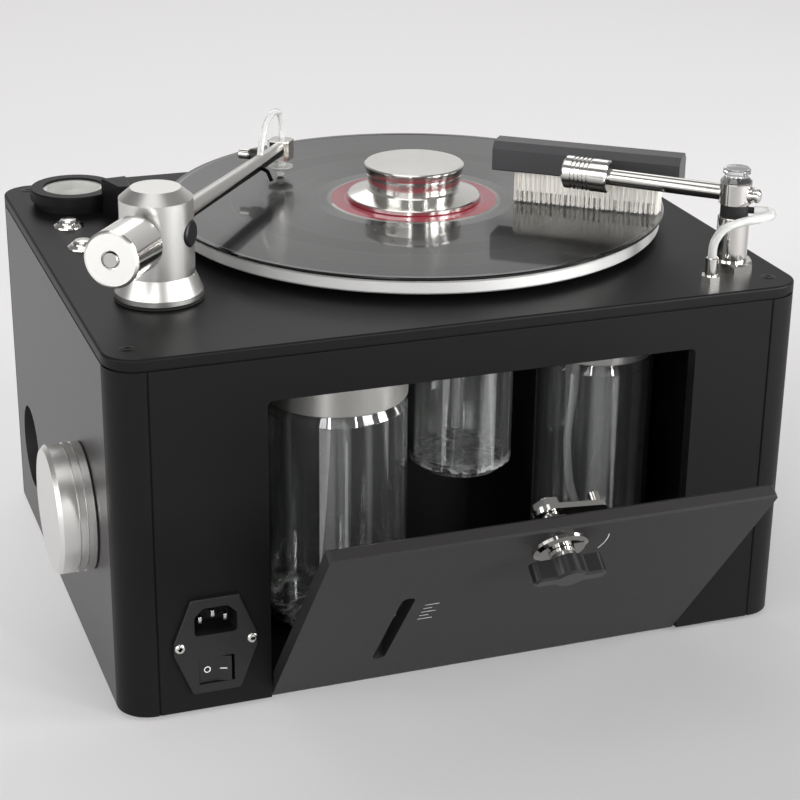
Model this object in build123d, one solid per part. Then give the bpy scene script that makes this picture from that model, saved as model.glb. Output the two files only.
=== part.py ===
from build123d import *
import math
import os

# Record cleaning machine, in millimetres: +Z up, +X to the right, +Y to the back.
# The origin is on the plane of the feet, below the middle of the case.
# Places on the case are given from its edges, so that what stands there follows them.

# ---------------------------------------------------------------- clearances and edges
RUN = 0.05                # radial clearance of a running fit
GAP = 0.3                 # clearance between bodies that pass each other
EDGE = 0.8                # broken edge of a turned or cast piece
FINE = 0.5                # finer broken edge

# ---------------------------------------------------------------- case
CASE_W = 396.0            # left to right
CASE_D = 324.0            # front to back
BODY_H = 206.4            # height above the feet
FOOT_H = 2.5
FOOT_R = 14.0
FOOT_SIDE = 40.0          # axis of a foot from the side of the case
FOOT_END = 34.0           # axis of a foot from the front and the back
CORNER_R = 18.0           # outer radius of the corner posts
POST_W = 20.0             # width of a corner post on the front
POST_D = 18.0             # width of a corner post on the side
SCREW_R = 2.2             # hole for the top plate's screw in a post
SCREW_IN = 13.5           # that hole from both edges of the case
WALL = 8.0                # front, rear and side panels
TOP_T = 7.0               # top plate
TOP_EDGE = 1.4            # rounding of its edge
SEAM = 0.7                # bevel at the joints between panels and posts
SHADOW = 1.2              # recess round its underside
BASE_T = 6.0
VENT_N = 11               # slots in each field of the rear panel
VENT_PITCH = 9.0
VENT_L = 44.0
VENT_W = 4.4
VENT_X = 95.0             # middle of a field from the middle of the case
VENT_UP = 60.0            # middle of a field above the underside

# ---------------------------------------------------------------- door and its latch
DOOR_LEFT = 83.5          # left edge of the door from the left side of the case
DOOR_RIGHT = 67.5         # right edge of the door from the right side of the case
DOOR_T = 8.0
DOOR_SIDE = 1.0           # gap at each side of the door
DOOR_HEAD = 7.0           # gap above the closed door
RAIL_H = 23.8             # front panel between the opening and the top plate
OPENING_R = 3.0           # rounding of the opening's upper corners
DOOR_OPEN = 38.5          # degrees from closed
PIVOT_UP = 4.6            # hinge axis above the underside of the case
HINGE_R = 2.0
HINGE_IN = 9.0            # depth of a hinge hole in the door
HINGE_OUT = 8.0           # length of a hinge pin in the front panel
DOOR_BEVEL = 1.5
SWING_ROOM = 1.5          # room round the door's lower edge as it turns
SLOT_W = 7.5
SLOT_X = -67.5            # slot from the middle of the door
SLOT_LOW = 29.4           # its ends from the bottom of the door
SLOT_HIGH = 108.6
LATCH_X = 5.0             # latch from the middle of the door
LATCH_UP = 146.7          # latch from the bottom of the door
LATCH_BORE_R = 6.0
BUSH_OUT = 9.0            # latch bush behind the door
ROSETTE_R = 15.0
ROSETTE_T = 3.0
WING_W = 40.0             # handle, tip to tip
WING_T = 8.0              # thickness of its wings
WING_D = 11.0             # depth of the handle, along the spindle
WING_HUB_R = 8.5
WING_FILLET = 3.0
WING_EDGE = 1.2
NECK_R = 7.0              # bright neck between the rosette and the handle
NECK_T = 4.7
SPINDLE_R = 4.0
SPINDLE_END = 4.0         # handle material in front of the spindle
BUSH_NUT_AF = 17.0
BUSH_NUT_T = 5.5
LEVER_L = 32.0
LEVER_T = 3.0
LEVER_HUB_R = 9.0
LEVER_TIP_R = 5.0
LEVER_PIN_R = 3.2
LEVER_PIN_L = 6.0
END_NUT_AF = 13.0
END_NUT_T = 4.5

# ---------------------------------------------------------------- jars and their compartment
JAR_WALL = 2.5
JAR_FLOOR = 5.0
WASTE_X = -53.0           # axis of the waste jar
WASTE_R = 41.5
WASTE_H = 137.0
WASTE_BACK = 4.5          # waste jar to the compartment's rear wall
TRAP_R = 30.0
TRAP_H = 103.0
TRAP_SIDE = 5.5           # trap jar to the waste jar
TRAP_BACK = 16.0
FLUID_R = 35.0
FLUID_H = 144.0
FLUID_SIDE = 21.0         # fluid jar to the trap jar
FLUID_BACK = 8.0
LID_T = 7.0               # trap jar's lid
WASTE_LID_T = 21.0
FLUID_LID_T = 10.0
LID_BEVEL = 1.2
LID_OVER = 1.5            # trap jar's lid beyond its jar
SPIGOT_R = 5.0            # hose spigot on a lid
SPIGOT_H = 5.0
DIP_R = 2.5               # dip tube in the trap jar
DIP_WALL = 1.0
DIP_OFF = 8.0             # its axis behind the jar's
DIP_UP = 18.0             # its lower end above the jar's bottom
BAY_T = 2.0               # compartment wall
BAY_LEFT = 24.5           # compartment beyond the waste jar
BAY_RIGHT = 12.0          # compartment beyond the fluid jar
BAY_LAP = 3.5             # compartment beyond the door opening, at least
BAY_BACK = 8.0            # compartment to the drive pulley behind it
PICK_SIDE = 12.0          # pick-up hose beside the fluid jar's axis
PICK_R = 2.4
VAC_R = 4.0               # vacuum hose
VAC_SIDE = 3.0            # vacuum hose beside the waste jar's axis
VAC_DOWN = 11.0           # vacuum hose below the top plate

# ---------------------------------------------------------------- mains inlet and switch
INLET_LEFT = 51.3         # middle of the inlet from the left side of the case
INLET_UP = 39.5           # middle of the inlet above the underside of the case
INLET_W = 46.6
INLET_H = 57.0
INLET_CUT_X = 10.0        # corner cut of the flange
INLET_CUT_Z = 25.0
INLET_CUT_R = 2.0
INLET_T = 2.5
INLET_BODY_W = 27.0
INLET_BODY_H = 53.0
INLET_DEPTH = 24.0
INLET_FIT = 0.2           # panel hole round the inlet's body
INLET_PITCH = 40.0        # between its two screws
INLET_SPOT_UP = 1.0       # those screws above the middle of the inlet
INLET_SPOT_R = 2.7
INLET_SPOT_T = 0.6
SOCKET_W = 23.6
SOCKET_H = 16.2
SOCKET_CUT = 5.0
SOCKET_EDGE = 2.0
SOCKET_UP = 14.9          # socket above the middle of the inlet
SOCKET_DEPTH = 15.0
PIN_W = 2.0
PIN_H = 4.0
PIN_L = 11.0
PIN_SIDE = 7.0            # outer pins from the middle
PIN_LOW = 2.4             # outer pins below the middle of the socket
PIN_STEP = 3.0            # earth pin above them
PIN_ROUND = 0.6
ROCKER_UP = -15.0         # rocker above the middle of the inlet
ROCKER_W = 17.5
ROCKER_H = 15.0
ROCKER_LEAN = 8.0         # degrees, at rest
ROCKER_VEE = 1.6
ROCKER_T = 7.0
ROCKER_SIDE = 1.1         # window beside the rocker
ROCKER_END = 0.4          # window above and below the rocker
AXLE_LAP = 2.0            # rocker axle inside the inlet's body, at each end
WINDOW_T = 13.0
AXLE_IN = 3.0             # rocker axle behind the front of the case
AXLE_PIN_R = 1.2

# ---------------------------------------------------------------- left side: knob and exhaust port
DIAL_FRONT = 80.0         # knob axis from the front of the case
DIAL_UP = 93.0            # above the underside
DIAL_R = 36.0
DIAL_L = 21.0
DIAL_GROOVES = (0.24, 0.45)
DIAL_GROOVE_T = 2.2
DIAL_GROOVE_W = 1.6
DIAL_SHAFT_R = 5.0
DIAL_SHAFT_L = 18.0
DIAL_BEVEL = 2.2
VALVE_R = 13.0
VALVE_L = 28.0
VALVE_NECK_R = 8.0
PORT_BACK = 64.7          # port axis from the back of the case
PORT_UP = 53.2
PORT_R = 26.4
PORT_L = 30.0

# ---------------------------------------------------------------- platter, record and clamp
PLATTER_X = 29.0          # from the middle of the case
PLATTER_Y = 16.0
PLATTER_R = 148.5
PLATTER_T = 7.5
PLATTER_UP = 4.4          # underside above the top plate
PLATTER_RELIEF = 2.6      # depth of the hollow underside
PLATTER_HUB_R = 28.0
PLATTER_RIM = 16.0
MAT_IN = 2.0              # mat inside the platter's edge
MAT_T = 1.0
RECORD_R = 150.8
RECORD_T = 1.8
LABEL_R = 50.1
GROOVE_R = 60.3
BEAD_W = 3.2              # raised rim of the record
HOLE_R = 3.65
SPINDLE_PIN_R = 3.55
SPINDLE_PIN_H = 12.0      # above the record
AXLE_R = 5.0
BEARING_R = 9.0
BEARING_FLANGE_R = 22.0
BEARING_L = 38.0          # below the top plate
SUB_R = 42.0              # drive pulley under the platter
SUB_T = 12.0
CLAMP_R = 40.0
CLAMP_TOP_R = 30.0
CLAMP_H = 22.0
CLAMP_ROOF = 5.0          # metal above the spindle's hole
CLAMP_LIFT = 0.05         # clamp above the label
BELT_R = 1.6
VEE_D = 2.6               # depth and half width of a belt groove
VEE_HALF = 3.2
MOTOR_DX = 93.0           # motor axis from the platter's
MOTOR_DY = 44.0
MOTOR_R = 19.0
MOTOR_H = 44.0
MOTOR_PULLEY_R = 8.4
MOTOR_PULLEY_T = 10.0
MOTOR_SHAFT_R = 2.5
MOTOR_SHAFT_IN = 19.0
HANGER_W = 60.0
HANGER_T = 3.0
HANGER_DROP = 30.0
HANGER_FOOT = 22.0

# ---------------------------------------------------------------- suction arm
ARM_LEFT = 47.9           # column axis from the left side of the case
ARM_FRONT = 90.0          # from the front
ARM_DEG = 53.6            # direction of the arm
ARM_UP = 38.0             # arm pivot above the top plate
ARM_DROP = 1.7            # degrees below level, with the nozzle on the record
ARM_L = 195.0             # column to the middle of the head
COLUMN_R = 20.0
COLUMN_FOOT = 4.2         # foot beyond the column
COLUMN_FOOT_H = 5.0
COLUMN_CONE_H = 15.0
COLUMN_SHOULDER = 56.4
COLUMN_H = 62.0
COLUMN_TOP_R = 13.6
COLUMN_PIN_R = 5.0
COLUMN_PIN_L = 21.0
GASKET_T = 1.0
ARM_BORE_R = 9.0
TUBE_R0 = 5.4             # arm tube at the column
TUBE_R1 = 4.5             # arm tube at the head
REAR_R = 4.0
WEIGHT_R = 15.4
WEIGHT_CLEAR = 7.0        # counterweight behind the column
WEIGHT_L = 33.0
PIVOT_R = 2.5
CAP_R = 7.5
CAP_OUT = 0.6             # pivot cap beyond the column
CAP_SINK = 1.8            # depth of its seat
HEAD_A = 14.0
HEAD_H = 12.3
HEAD_BEVEL = 2.3
DISC_R = 7.8
DISC_T = 2.2
DISC_UP = 19.5            # underside of the disc above the top plate
NOZZLE_R = 2.5
NOZZLE_TIP_H = 2.6
STEM_R = 1.8
STEM_TOP_R = 3.2
LOOP_R = 2.0
LOOP_FOOT = 37.0          # loop tube's foot before the head's axis
LOOP_UP = 26.0            # its highest point above the arm
LOOP_PAST = 2.0           # its end beyond the head's axis
THUMB_BACK = 21.0         # thumb screw before the head's axis
THUMB_R = 3.8
HOOK_BACK = 45.0          # finger hook before the head's axis
HOOK_R = 1.2

# ---------------------------------------------------------------- brush
BRUSH_RIGHT = 27.0        # post axis from the right side of the case
BRUSH_FRONT = 39.0        # from the front
BRUSH_POST_R = 9.0
BRUSH_POST_H = 31.0
HEX_AF = 22.6
HEX_T = 5.5
HEX_TURN = 12.0
SOCKET_R = 4.0            # swivel's bore in the post
UNION_R = 7.9
UNION_H = 6.8
UNION_SPIGOT_DEG = -25.0
UNION_SPIGOT_S = 11.0
SWIVEL_R = 9.1
SWIVEL_H = 12.9
SWIVEL_PIN_L = 11.0
SWIVEL_CAP_R = 7.8
SWIVEL_CAP_H = 8.0
BRUSH_DEG = 136.2         # direction of the brush arm
BRUSH_DROP = 0.6          # arm axis below the middle of the swivel
BRUSH_TUBE_R = 4.7
TAIL_L = 14.5             # stub behind the swivel, from the post's axis
TAIL_R = 3.5
TAIL_CAP_R = 4.0
TAIL_CAP_T = 2.6
COLLAR_S = 87.9           # middle of the collar from the post
COLLAR_R = 9.5
COLLAR_L = 27.0
COLLAR_RINGS = 5
COLLAR_PITCH = 2.5
COLLAR_RING_S = 10.5      # first ring from the collar's inner end
COLLAR_RING_T = 0.8
BRUSH_OFF = 30.0          # brush body beside the arm's axis
BRUSH_ALONG = 10.0        # brush body beyond the middle of the collar
BRUSH_BODY_DEG = 142.3
BRUSH_L = 113.0
BRUSH_D = 20.0
BRUSH_H = 17.3
BRUSH_UP = 34.5           # underside of the body above the top plate
BRUSH_BEVEL = 4.0
BRISTLE_L = 90.0
BRISTLE_T = 10.0
BRISTLE_IN = 4.0          # bristles inside the body
STUB_R = 5.0
BARB_RIGHT = 48.7         # hose barb from the right side of the case
BARB_FRONT = 21.3
BARB_AF = 10.0
BARB_HEX_T = 3.6
BARB_R = 3.6
BARB_H = 14.0
BARB_PIN_R = 3.0
FEED_R = 2.5              # feed hose

# ---------------------------------------------------------------- nozzle pot and buttons
POT_LEFT = 38.0           # pot axis from the left side of the case
POT_BACK = 48.0           # from the back
POT_R = 26.5
POT_H = 11.0
POT_FOOT_H = 4.5
POT_STEP = 2.0            # foot inside the rim
POT_HOLE_R = 18.7
BLOCK_H = 20.5            # block in front of the pot
BUTTON_LEFT = 25.8        # buttons from the left side of the case
BUTTON_BACK = 93.6        # rear button from the back
BUTTON_PITCH = 42.7
BEZEL_R = 9.2
BEZEL_T = 2.4
SWITCH_R = 7.5
BUTTON_R = 5.6
BUTTON_UP = 1.0
BUTTON_TRAVEL = 1.5

# ---------------------------------------------------------------- machinery behind the compartment
PUMP_LEFT = 93.0          # vacuum pump from the left side of the case
PUMP_BACK = 102.0
PUMP_R = 36.0
PUMP_H = 70.0
PUMP_EDGE = 5.0
PUMP_FOOT_T = 8.0
PUMP_SPIGOT_R = 9.0
PUMP_SPIGOT_H = 12.0
DUCT_W = 12.0
DUCT_H = 16.0
DUCT_OFF = 9.3            # duct in front of the port's axis
CAN_WALL = 3.0            # exhaust can behind the port
LIQUID_X = 20.0           # liquid pump
LIQUID_BACK = 62.0
LIQUID_R = 20.0
LIQUID_H = 45.0
LIQUID_FOOT_H = 26.0
LIQUID_FOOT_W = 40.0
SUPPLY_X = 120.0          # power supply
SUPPLY_BEHIND = 20.0      # behind the compartment
SUPPLY_W = 90.0
SUPPLY_D = 30.0
SUPPLY_H = 42.0
FINS = 9
FIN_PITCH = 9.5
FIN_GAP = 4.0
FIN_D = 3.0
FIN_END = 8.0             # fins above the bottom of the power supply
FIN_L = 28.0

# ---------------------------------------------------------------- derived places
UP = (Align.CENTER, Align.CENTER, Align.MIN)
HALF_W = CASE_W / 2
HALF_D = CASE_D / 2
LEFT = -HALF_W
RIGHT = HALF_W
FRONT = -HALF_D
BACK = HALF_D
Z_BODY = FOOT_H
Z_BASE = Z_BODY + BASE_T
Z_TOP = Z_BODY + BODY_H
Z_UNDER = Z_TOP - TOP_T
PLATTER_Z = Z_TOP + PLATTER_UP
MAT_Z = PLATTER_Z + PLATTER_T
RECORD_Z = MAT_Z + MAT_T
RECORD_TOP = RECORD_Z + RECORD_T
CORNERS = [(sx, sy) for sx in (-1, 1) for sy in (-1, 1)]

os.makedirs("parts", exist_ok=True)


def save(name, shape):
    shape.label = name
    export_step(shape, "parts/" + name + ".step")


def rod(x, y, z, r, h):
    # upright cylinder standing on z
    return Pos(x, y, z) * Cylinder(r, h, align=UP)


def bar(x, y, z, r, length, turn):
    # cylinder centred on a point, turned from upright
    return Pos(x, y, z) * turn * Cylinder(r, length)


ALONG_X = Rot(0, 90, 0)
ALONG_Y = Rot(90, 0, 0)


def block(x0, x1, y0, y1, z0, z1):
    middle = Pos((x0 + x1) / 2, (y0 + y1) / 2, (z0 + z1) / 2)
    return middle * Box(x1 - x0, y1 - y0, z1 - z0)


def turned(points):
    # closed half-profile in X (radius) and Z (height), turned about Z
    face = make_face(Plane.XZ * Polyline(*points, close=True))
    return revolve(face, axis=Axis.Z)


def tube_of(r_in, r_out, z0, z1):
    return turned([(r_in, z0), (r_out, z0), (r_out, z1), (r_in, z1)])


def along(points):
    # turned profile of (radius, distance along local X)
    return ALONG_X * turned(points)


def slab(sketch, z0, z1):
    return extrude(Plane.XY.offset(z0) * sketch, amount=z1 - z0)


def hexagon(across, turn=0.0):
    return RegularPolygon(across / 2, 6, major_radius=False, rotation=turn)


def frame_at(x, y, z, degrees):
    # local X runs along the given compass direction, local Z stays up
    return Pos(x, y, z) * Rot(0, 0, degrees)


def hose(points, r):
    # straight runs joined by arcs as large as the two runs allow
    pts = [Vector(*p) for p in points]
    radii = []
    for a, b, c in zip(pts, pts[1:], pts[2:]):
        turn = math.radians((b - a).get_angle(c - b))
        run = min((b - a).length, (c - b).length)
        radii.append(0.45 * run / math.tan(turn / 2))
    path = FilletPolyline(*pts, radius=radii)
    print("hose radii", [round(q, 1) for q in radii], "length", round(path.length, 1))
    ring = Plane(origin=pts[0], z_dir=(pts[1] - pts[0])) * Circle(r)
    return sweep(ring, path=path)


# ---------------------------------------------------------------- case
DOOR_X0 = LEFT + DOOR_LEFT
DOOR_X1 = RIGHT - DOOR_RIGHT
DOOR_MID = (DOOR_X0 + DOOR_X1) / 2
OPEN_X0 = DOOR_X0 - DOOR_SIDE
OPEN_X1 = DOOR_X1 + DOOR_SIDE
OPEN_TOP = Z_UNDER - RAIL_H
HINGE_Z = Z_BODY + PIVOT_UP
HINGE_Y = FRONT + DOOR_T / 2
SWING_R = math.hypot(DOOR_T / 2, DOOR_T / 2) + SWING_ROOM
INLET_X = LEFT + INLET_LEFT
INLET_Z = Z_BODY + INLET_UP
DIAL_Y = FRONT + DIAL_FRONT
DIAL_Z = Z_BODY + DIAL_UP
PORT_Y = BACK - PORT_BACK
PORT_Z = Z_BODY + PORT_UP


SEAM_X = HALF_W - POST_W
SEAM_Y = HALF_D - POST_D


def post_footprint(sx, sy):
    return Pos(sx * (HALF_W - POST_W / 2), sy * (HALF_D - POST_D / 2)) * Rectangle(POST_W, POST_D)


def seam(x, y):
    # bevels of the two outer edges that meet at an upright joint
    side = SEAM * math.sqrt(2)
    return Pos(x, y, (Z_BODY + Z_UNDER) / 2) * Rot(0, 0, 45) * Box(side, side, BODY_H)


def panel(x0, x1, y0, y1, seams):
    shape = block(x0, x1, y0, y1, Z_BODY, Z_UNDER)
    for x, y in seams:
        shape -= seam(x, y)
    return shape



base_face = Rectangle(CASE_W - 2 * WALL, CASE_D - 2 * WALL)
for sx, sy in CORNERS:
    base_face -= post_footprint(sx, sy)
base = slab(base_face, Z_BODY, Z_BASE)
base -= block(OPEN_X0, OPEN_X1, FRONT, HINGE_Y + SWING_R, Z_BODY, Z_BASE)
save("base_plate", base)

feet = Part()
for sx, sy in CORNERS:
    foot = rod(sx * (HALF_W - FOOT_SIDE), sy * (HALF_D - FOOT_END), 0, FOOT_R, FOOT_H)
    feet += chamfer(foot.edges().group_by(Axis.Z)[0], EDGE)
save("feet", feet)

posts = Part()
for sx, sy in CORNERS:
    screw = Pos(sx * (HALF_W - SCREW_IN), sy * (HALF_D - SCREW_IN)) * Circle(SCREW_R)
    face = RectangleRounded(CASE_W, CASE_D, CORNER_R) & post_footprint(sx, sy)
    post = slab(face - screw, Z_BODY, Z_UNDER)
    posts += post - seam(sx * SEAM_X, sy * HALF_D) - seam(sx * HALF_W, sy * SEAM_Y)
save("corner_posts", posts)


front = panel(-SEAM_X, SEAM_X, FRONT, FRONT + WALL, ((-SEAM_X, FRONT), (SEAM_X, FRONT)))
opening = block(OPEN_X0, OPEN_X1, FRONT, FRONT + WALL, Z_BODY, OPEN_TOP)
front -= fillet(opening.edges().filter_by(Axis.Y).group_by(Axis.Z)[-1], OPENING_R)
inlet_half_w = INLET_BODY_W / 2 + INLET_FIT
inlet_half_h = INLET_BODY_H / 2 + INLET_FIT
front -= block(INLET_X - inlet_half_w, INLET_X + inlet_half_w, FRONT, FRONT + WALL,
               INLET_Z - inlet_half_h, INLET_Z + inlet_half_h)
for x, s in ((OPEN_X0, -1), (OPEN_X1, 1)):
    front -= bar(x + s * HINGE_OUT / 2, HINGE_Y, HINGE_Z, HINGE_R, HINGE_OUT, ALONG_X)
save("front_panel", front)

left = panel(LEFT, LEFT + WALL, -SEAM_Y, SEAM_Y, ((LEFT, -SEAM_Y), (LEFT, SEAM_Y)))
left -= bar(LEFT + WALL / 2, PORT_Y, PORT_Z, PORT_R, 2 * WALL, ALONG_X)
left -= bar(LEFT + WALL / 2, DIAL_Y, DIAL_Z, VALVE_NECK_R, 2 * WALL, ALONG_X)
save("left_panel", left)
right = panel(RIGHT - WALL, RIGHT, -SEAM_Y, SEAM_Y, ((RIGHT, -SEAM_Y), (RIGHT, SEAM_Y)))
save("right_panel", right)

rear = panel(-SEAM_X, SEAM_X, BACK - WALL, BACK, ((-SEAM_X, BACK), (SEAM_X, BACK)))
vent = extrude(Plane.XZ * SlotOverall(VENT_L, VENT_W, rotation=90), amount=WALL, both=True)
for field_x in (-VENT_X, VENT_X):
    for i in range(VENT_N):
        x = field_x + (i - (VENT_N - 1) / 2) * VENT_PITCH
        rear -= Pos(x, BACK - WALL / 2, Z_BODY + VENT_UP) * vent
save("rear_panel", rear)

ARM_X = LEFT + ARM_LEFT
ARM_Y = FRONT + ARM_FRONT
POST_X = RIGHT - BRUSH_RIGHT
POST_Y = FRONT + BRUSH_FRONT
BARB_X = RIGHT - BARB_RIGHT
BARB_Y = FRONT + BARB_FRONT
POT_X = LEFT + POT_LEFT
POT_Y = BACK - POT_BACK
BUTTON_X = LEFT + BUTTON_LEFT
BUTTON_YS = (BACK - BUTTON_BACK, BACK - BUTTON_BACK - BUTTON_PITCH)
BUSH_NECK_R = COLUMN_PIN_R + 3.0

top = slab(RectangleRounded(CASE_W, CASE_D, CORNER_R), Z_UNDER + SHADOW, Z_TOP)
top = fillet(top.edges().group_by(Axis.Z)[-1], TOP_EDGE)
under = RectangleRounded(CASE_W - 2 * SHADOW, CASE_D - 2 * SHADOW, CORNER_R - SHADOW)
top += slab(under, Z_UNDER, Z_UNDER + SHADOW)
top -= rod(PLATTER_X, PLATTER_Y, Z_UNDER, BEARING_R, TOP_T)
top -= rod(ARM_X, ARM_Y, Z_UNDER, BUSH_NECK_R, TOP_T)
top -= rod(POST_X, POST_Y, Z_UNDER, SOCKET_R, TOP_T)
top -= rod(BARB_X, BARB_Y, Z_UNDER, BARB_PIN_R, TOP_T)
for y in BUTTON_YS:
    top -= rod(BUTTON_X, y, Z_UNDER, SWITCH_R, TOP_T)
save("top_plate", top)

# ---------------------------------------------------------------- jar compartment
TRAP_X = WASTE_X + WASTE_R + TRAP_SIDE + TRAP_R
FLUID_X = TRAP_X + TRAP_R + FLUID_SIDE + FLUID_R
BAY_X0 = min(OPEN_X0 - BAY_LAP, WASTE_X - WASTE_R - BAY_LEFT)
BAY_X1 = max(OPEN_X1 + BAY_LAP, FLUID_X + FLUID_R + BAY_RIGHT)
BAY_Y1 = PLATTER_Y - SUB_R - BAY_BACK
BAY_WALL_Y = BAY_Y1 - BAY_T
WASTE_Y = BAY_WALL_Y - WASTE_BACK - WASTE_R
TRAP_Y = BAY_WALL_Y - TRAP_BACK - TRAP_R
FLUID_Y = BAY_WALL_Y - FLUID_BACK - FLUID_R
TRAP_Z = Z_UNDER - LID_T - TRAP_H
WASTE_LID_Z = Z_BASE + WASTE_H
FLUID_LID_Z = Z_BASE + FLUID_H
VAC_X = WASTE_X - VAC_SIDE
VAC_Z = Z_UNDER - VAC_DOWN

bay = block(BAY_X0, BAY_X1, FRONT + WALL, BAY_Y1, Z_BASE, Z_UNDER)
bay -= block(BAY_X0 + BAY_T, BAY_X1 - BAY_T, FRONT + WALL, BAY_WALL_Y, Z_BASE, Z_UNDER)
bay -= bar(VAC_X, BAY_Y1, VAC_Z, VAC_R + GAP, 4 * BAY_T, ALONG_Y)
save("jar_bay", bay)

JAR_FOOT = 4.0            # bevel round the bottom of a jar
JAR_NECK = 3.0            # bevel under its rim
JAR_RIM = 6.0


def jar(x, y, z, r, h):
    # glass tumbler with a thick rounded bottom
    inside = r - JAR_WALL
    outer = [(0, 0), (r - JAR_FOOT, 0), (r, JAR_FOOT), (r, h - JAR_RIM), (r - JAR_NECK, h), (0, h)]
    inner = [(0, JAR_FLOOR), (inside - JAR_NECK, JAR_FLOOR), (inside, JAR_FLOOR + JAR_NECK),
             (inside, h - JAR_RIM - 1.0), (inside - JAR_NECK, h), (0, h)]
    return Pos(x, y, z) * (turned(outer) - turned(inner))


def lid(x, y, z, r, h):
    # turned metal cap with a hose spigot
    cap = turned([(0, 0), (r - EDGE, 0), (r, EDGE), (r, h - LID_BEVEL), (r - LID_BEVEL, h), (SPIGOT_R, h),
                  (SPIGOT_R, h + SPIGOT_H), (0, h + SPIGOT_H)])
    return Pos(x, y, z) * cap


save("waste_jar", jar(WASTE_X, WASTE_Y, Z_BASE, WASTE_R, WASTE_H))
save("fluid_jar", jar(FLUID_X, FLUID_Y, Z_BASE, FLUID_R, FLUID_H))
save("trap_jar", jar(TRAP_X, TRAP_Y, TRAP_Z, TRAP_R, TRAP_H))
lids = lid(WASTE_X, WASTE_Y, WASTE_LID_Z, WASTE_R, WASTE_LID_T)
lids += lid(FLUID_X, FLUID_Y, FLUID_LID_Z, FLUID_R, FLUID_LID_T)
trap_lid = rod(TRAP_X, TRAP_Y, Z_UNDER - LID_T, TRAP_R + LID_OVER, LID_T)
trap_lid += rod(TRAP_X, TRAP_Y + DIP_OFF, TRAP_Z + DIP_UP, DIP_R, TRAP_H - DIP_UP)
trap_lid -= rod(TRAP_X, TRAP_Y + DIP_OFF, TRAP_Z + DIP_UP, DIP_R - DIP_WALL, TRAP_H - DIP_UP)
save("jar_lids", lids + trap_lid)

px = FLUID_X - PICK_SIDE
py = FLUID_Y
pz = FLUID_LID_Z
pick_route = [(px, py, pz), (px, py, pz - 26), (px - 5, py - 2, pz - 54), (px - 3, py - 4, pz - 86),
              (px + 7, py - 5, pz - 112), (px + 12, py - 5, pz - 136)]
save("fluid_pickup_hose", hose(pick_route, PICK_R))

# ---------------------------------------------------------------- inlet and switch
INLET_FACE = Plane(origin=(INLET_X, FRONT, INLET_Z), x_dir=(1, 0, 0), z_dir=(0, -1, 0))
INLET_FRONT = INLET_FACE.offset(INLET_T)


def cut_rectangle(width, height, cut_x, cut_y, lower=True):
    # rectangle with its upper corners cut off, and the lower ones too if asked
    w = width / 2
    h = height / 2
    upper = [(w, h - cut_y), (w - cut_x, h), (cut_x - w, h), (-w, h - cut_y)]
    bottom = [(-w, cut_y - h), (cut_x - w, -h), (w - cut_x, -h), (w, cut_y - h)]
    return Polygon(*upper, *(bottom if lower else [(-w, -h), (w, -h)]), align=None)


flange_face = cut_rectangle(INLET_W, INLET_H, INLET_CUT_X, INLET_CUT_Z)
flange_face = fillet(flange_face.vertices(), INLET_CUT_R)
inlet = extrude(INLET_FACE * flange_face, amount=INLET_T)
inlet = fillet(inlet.edges().group_by(Axis.Y)[0], EDGE)
inlet += extrude(INLET_FACE * Rectangle(INLET_BODY_W, INLET_BODY_H), amount=-INLET_DEPTH)
socket = cut_rectangle(SOCKET_W, SOCKET_H, SOCKET_CUT, SOCKET_CUT, lower=False)
socket = fillet(socket.vertices().group_by(Axis.Y)[0], SOCKET_EDGE)
inlet -= extrude(INLET_FRONT * Pos(0, SOCKET_UP) * socket, amount=-(INLET_T + SOCKET_DEPTH))
window = Rectangle(ROCKER_W + 2 * ROCKER_SIDE, ROCKER_H + 2 * ROCKER_END)
inlet -= extrude(INLET_FRONT * Pos(0, ROCKER_UP) * window, amount=-(INLET_T + WINDOW_T))
AXLE = Pos(INLET_X, FRONT + AXLE_IN, INLET_Z + ROCKER_UP)
inlet -= AXLE * Cylinder(AXLE_PIN_R, ROCKER_H + 2 * AXLE_LAP)
for s in (-1, 1):
    spot = INLET_FRONT * Pos(s * INLET_PITCH / 2, INLET_SPOT_UP) * Circle(INLET_SPOT_R)
    inlet -= extrude(spot, amount=-INLET_SPOT_T)
pin_y = FRONT + SOCKET_DEPTH - PIN_L / 2
for x, up in ((-PIN_SIDE, 0), (0, PIN_STEP), (PIN_SIDE, 0)):
    pin = Pos(INLET_X + x, pin_y, INLET_Z + SOCKET_UP - PIN_LOW + up) * Box(PIN_W, PIN_L, PIN_H)
    inlet += fillet(pin.edges().group_by(Axis.Y)[0], PIN_ROUND)
save("inlet_module", inlet)

# rocker with a shallow vee front, its ends level with the flange; it rocks on an upright axle
half = ROCKER_W / 2
vee_face = Polygon((-half, 0), (0, -ROCKER_VEE), (half, 0), (half - EDGE, -ROCKER_T),
                   (EDGE - half, -ROCKER_T), align=None)
vee_plane = Plane(origin=(INLET_X, FRONT - INLET_T, INLET_Z + ROCKER_UP), x_dir=(1, 0, 0), z_dir=(0, 0, -1))
rocker = extrude(vee_plane * vee_face, amount=ROCKER_H / 2, both=True)
rocker += AXLE * Cylinder(AXLE_PIN_R - RUN, ROCKER_H + 2 * (AXLE_LAP - GAP))
save("rocker", rocker.rotate(Axis((INLET_X, FRONT + AXLE_IN, INLET_Z), (0, 0, 1)), -ROCKER_LEAN))

# ---------------------------------------------------------------- knob and exhaust on the left side
def side_turned(points):
    # profile of (radius, distance out of the left side), on the knob's axis
    return Pos(LEFT, DIAL_Y, DIAL_Z) * Rot(0, -90, 0) * turned(points)


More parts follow.
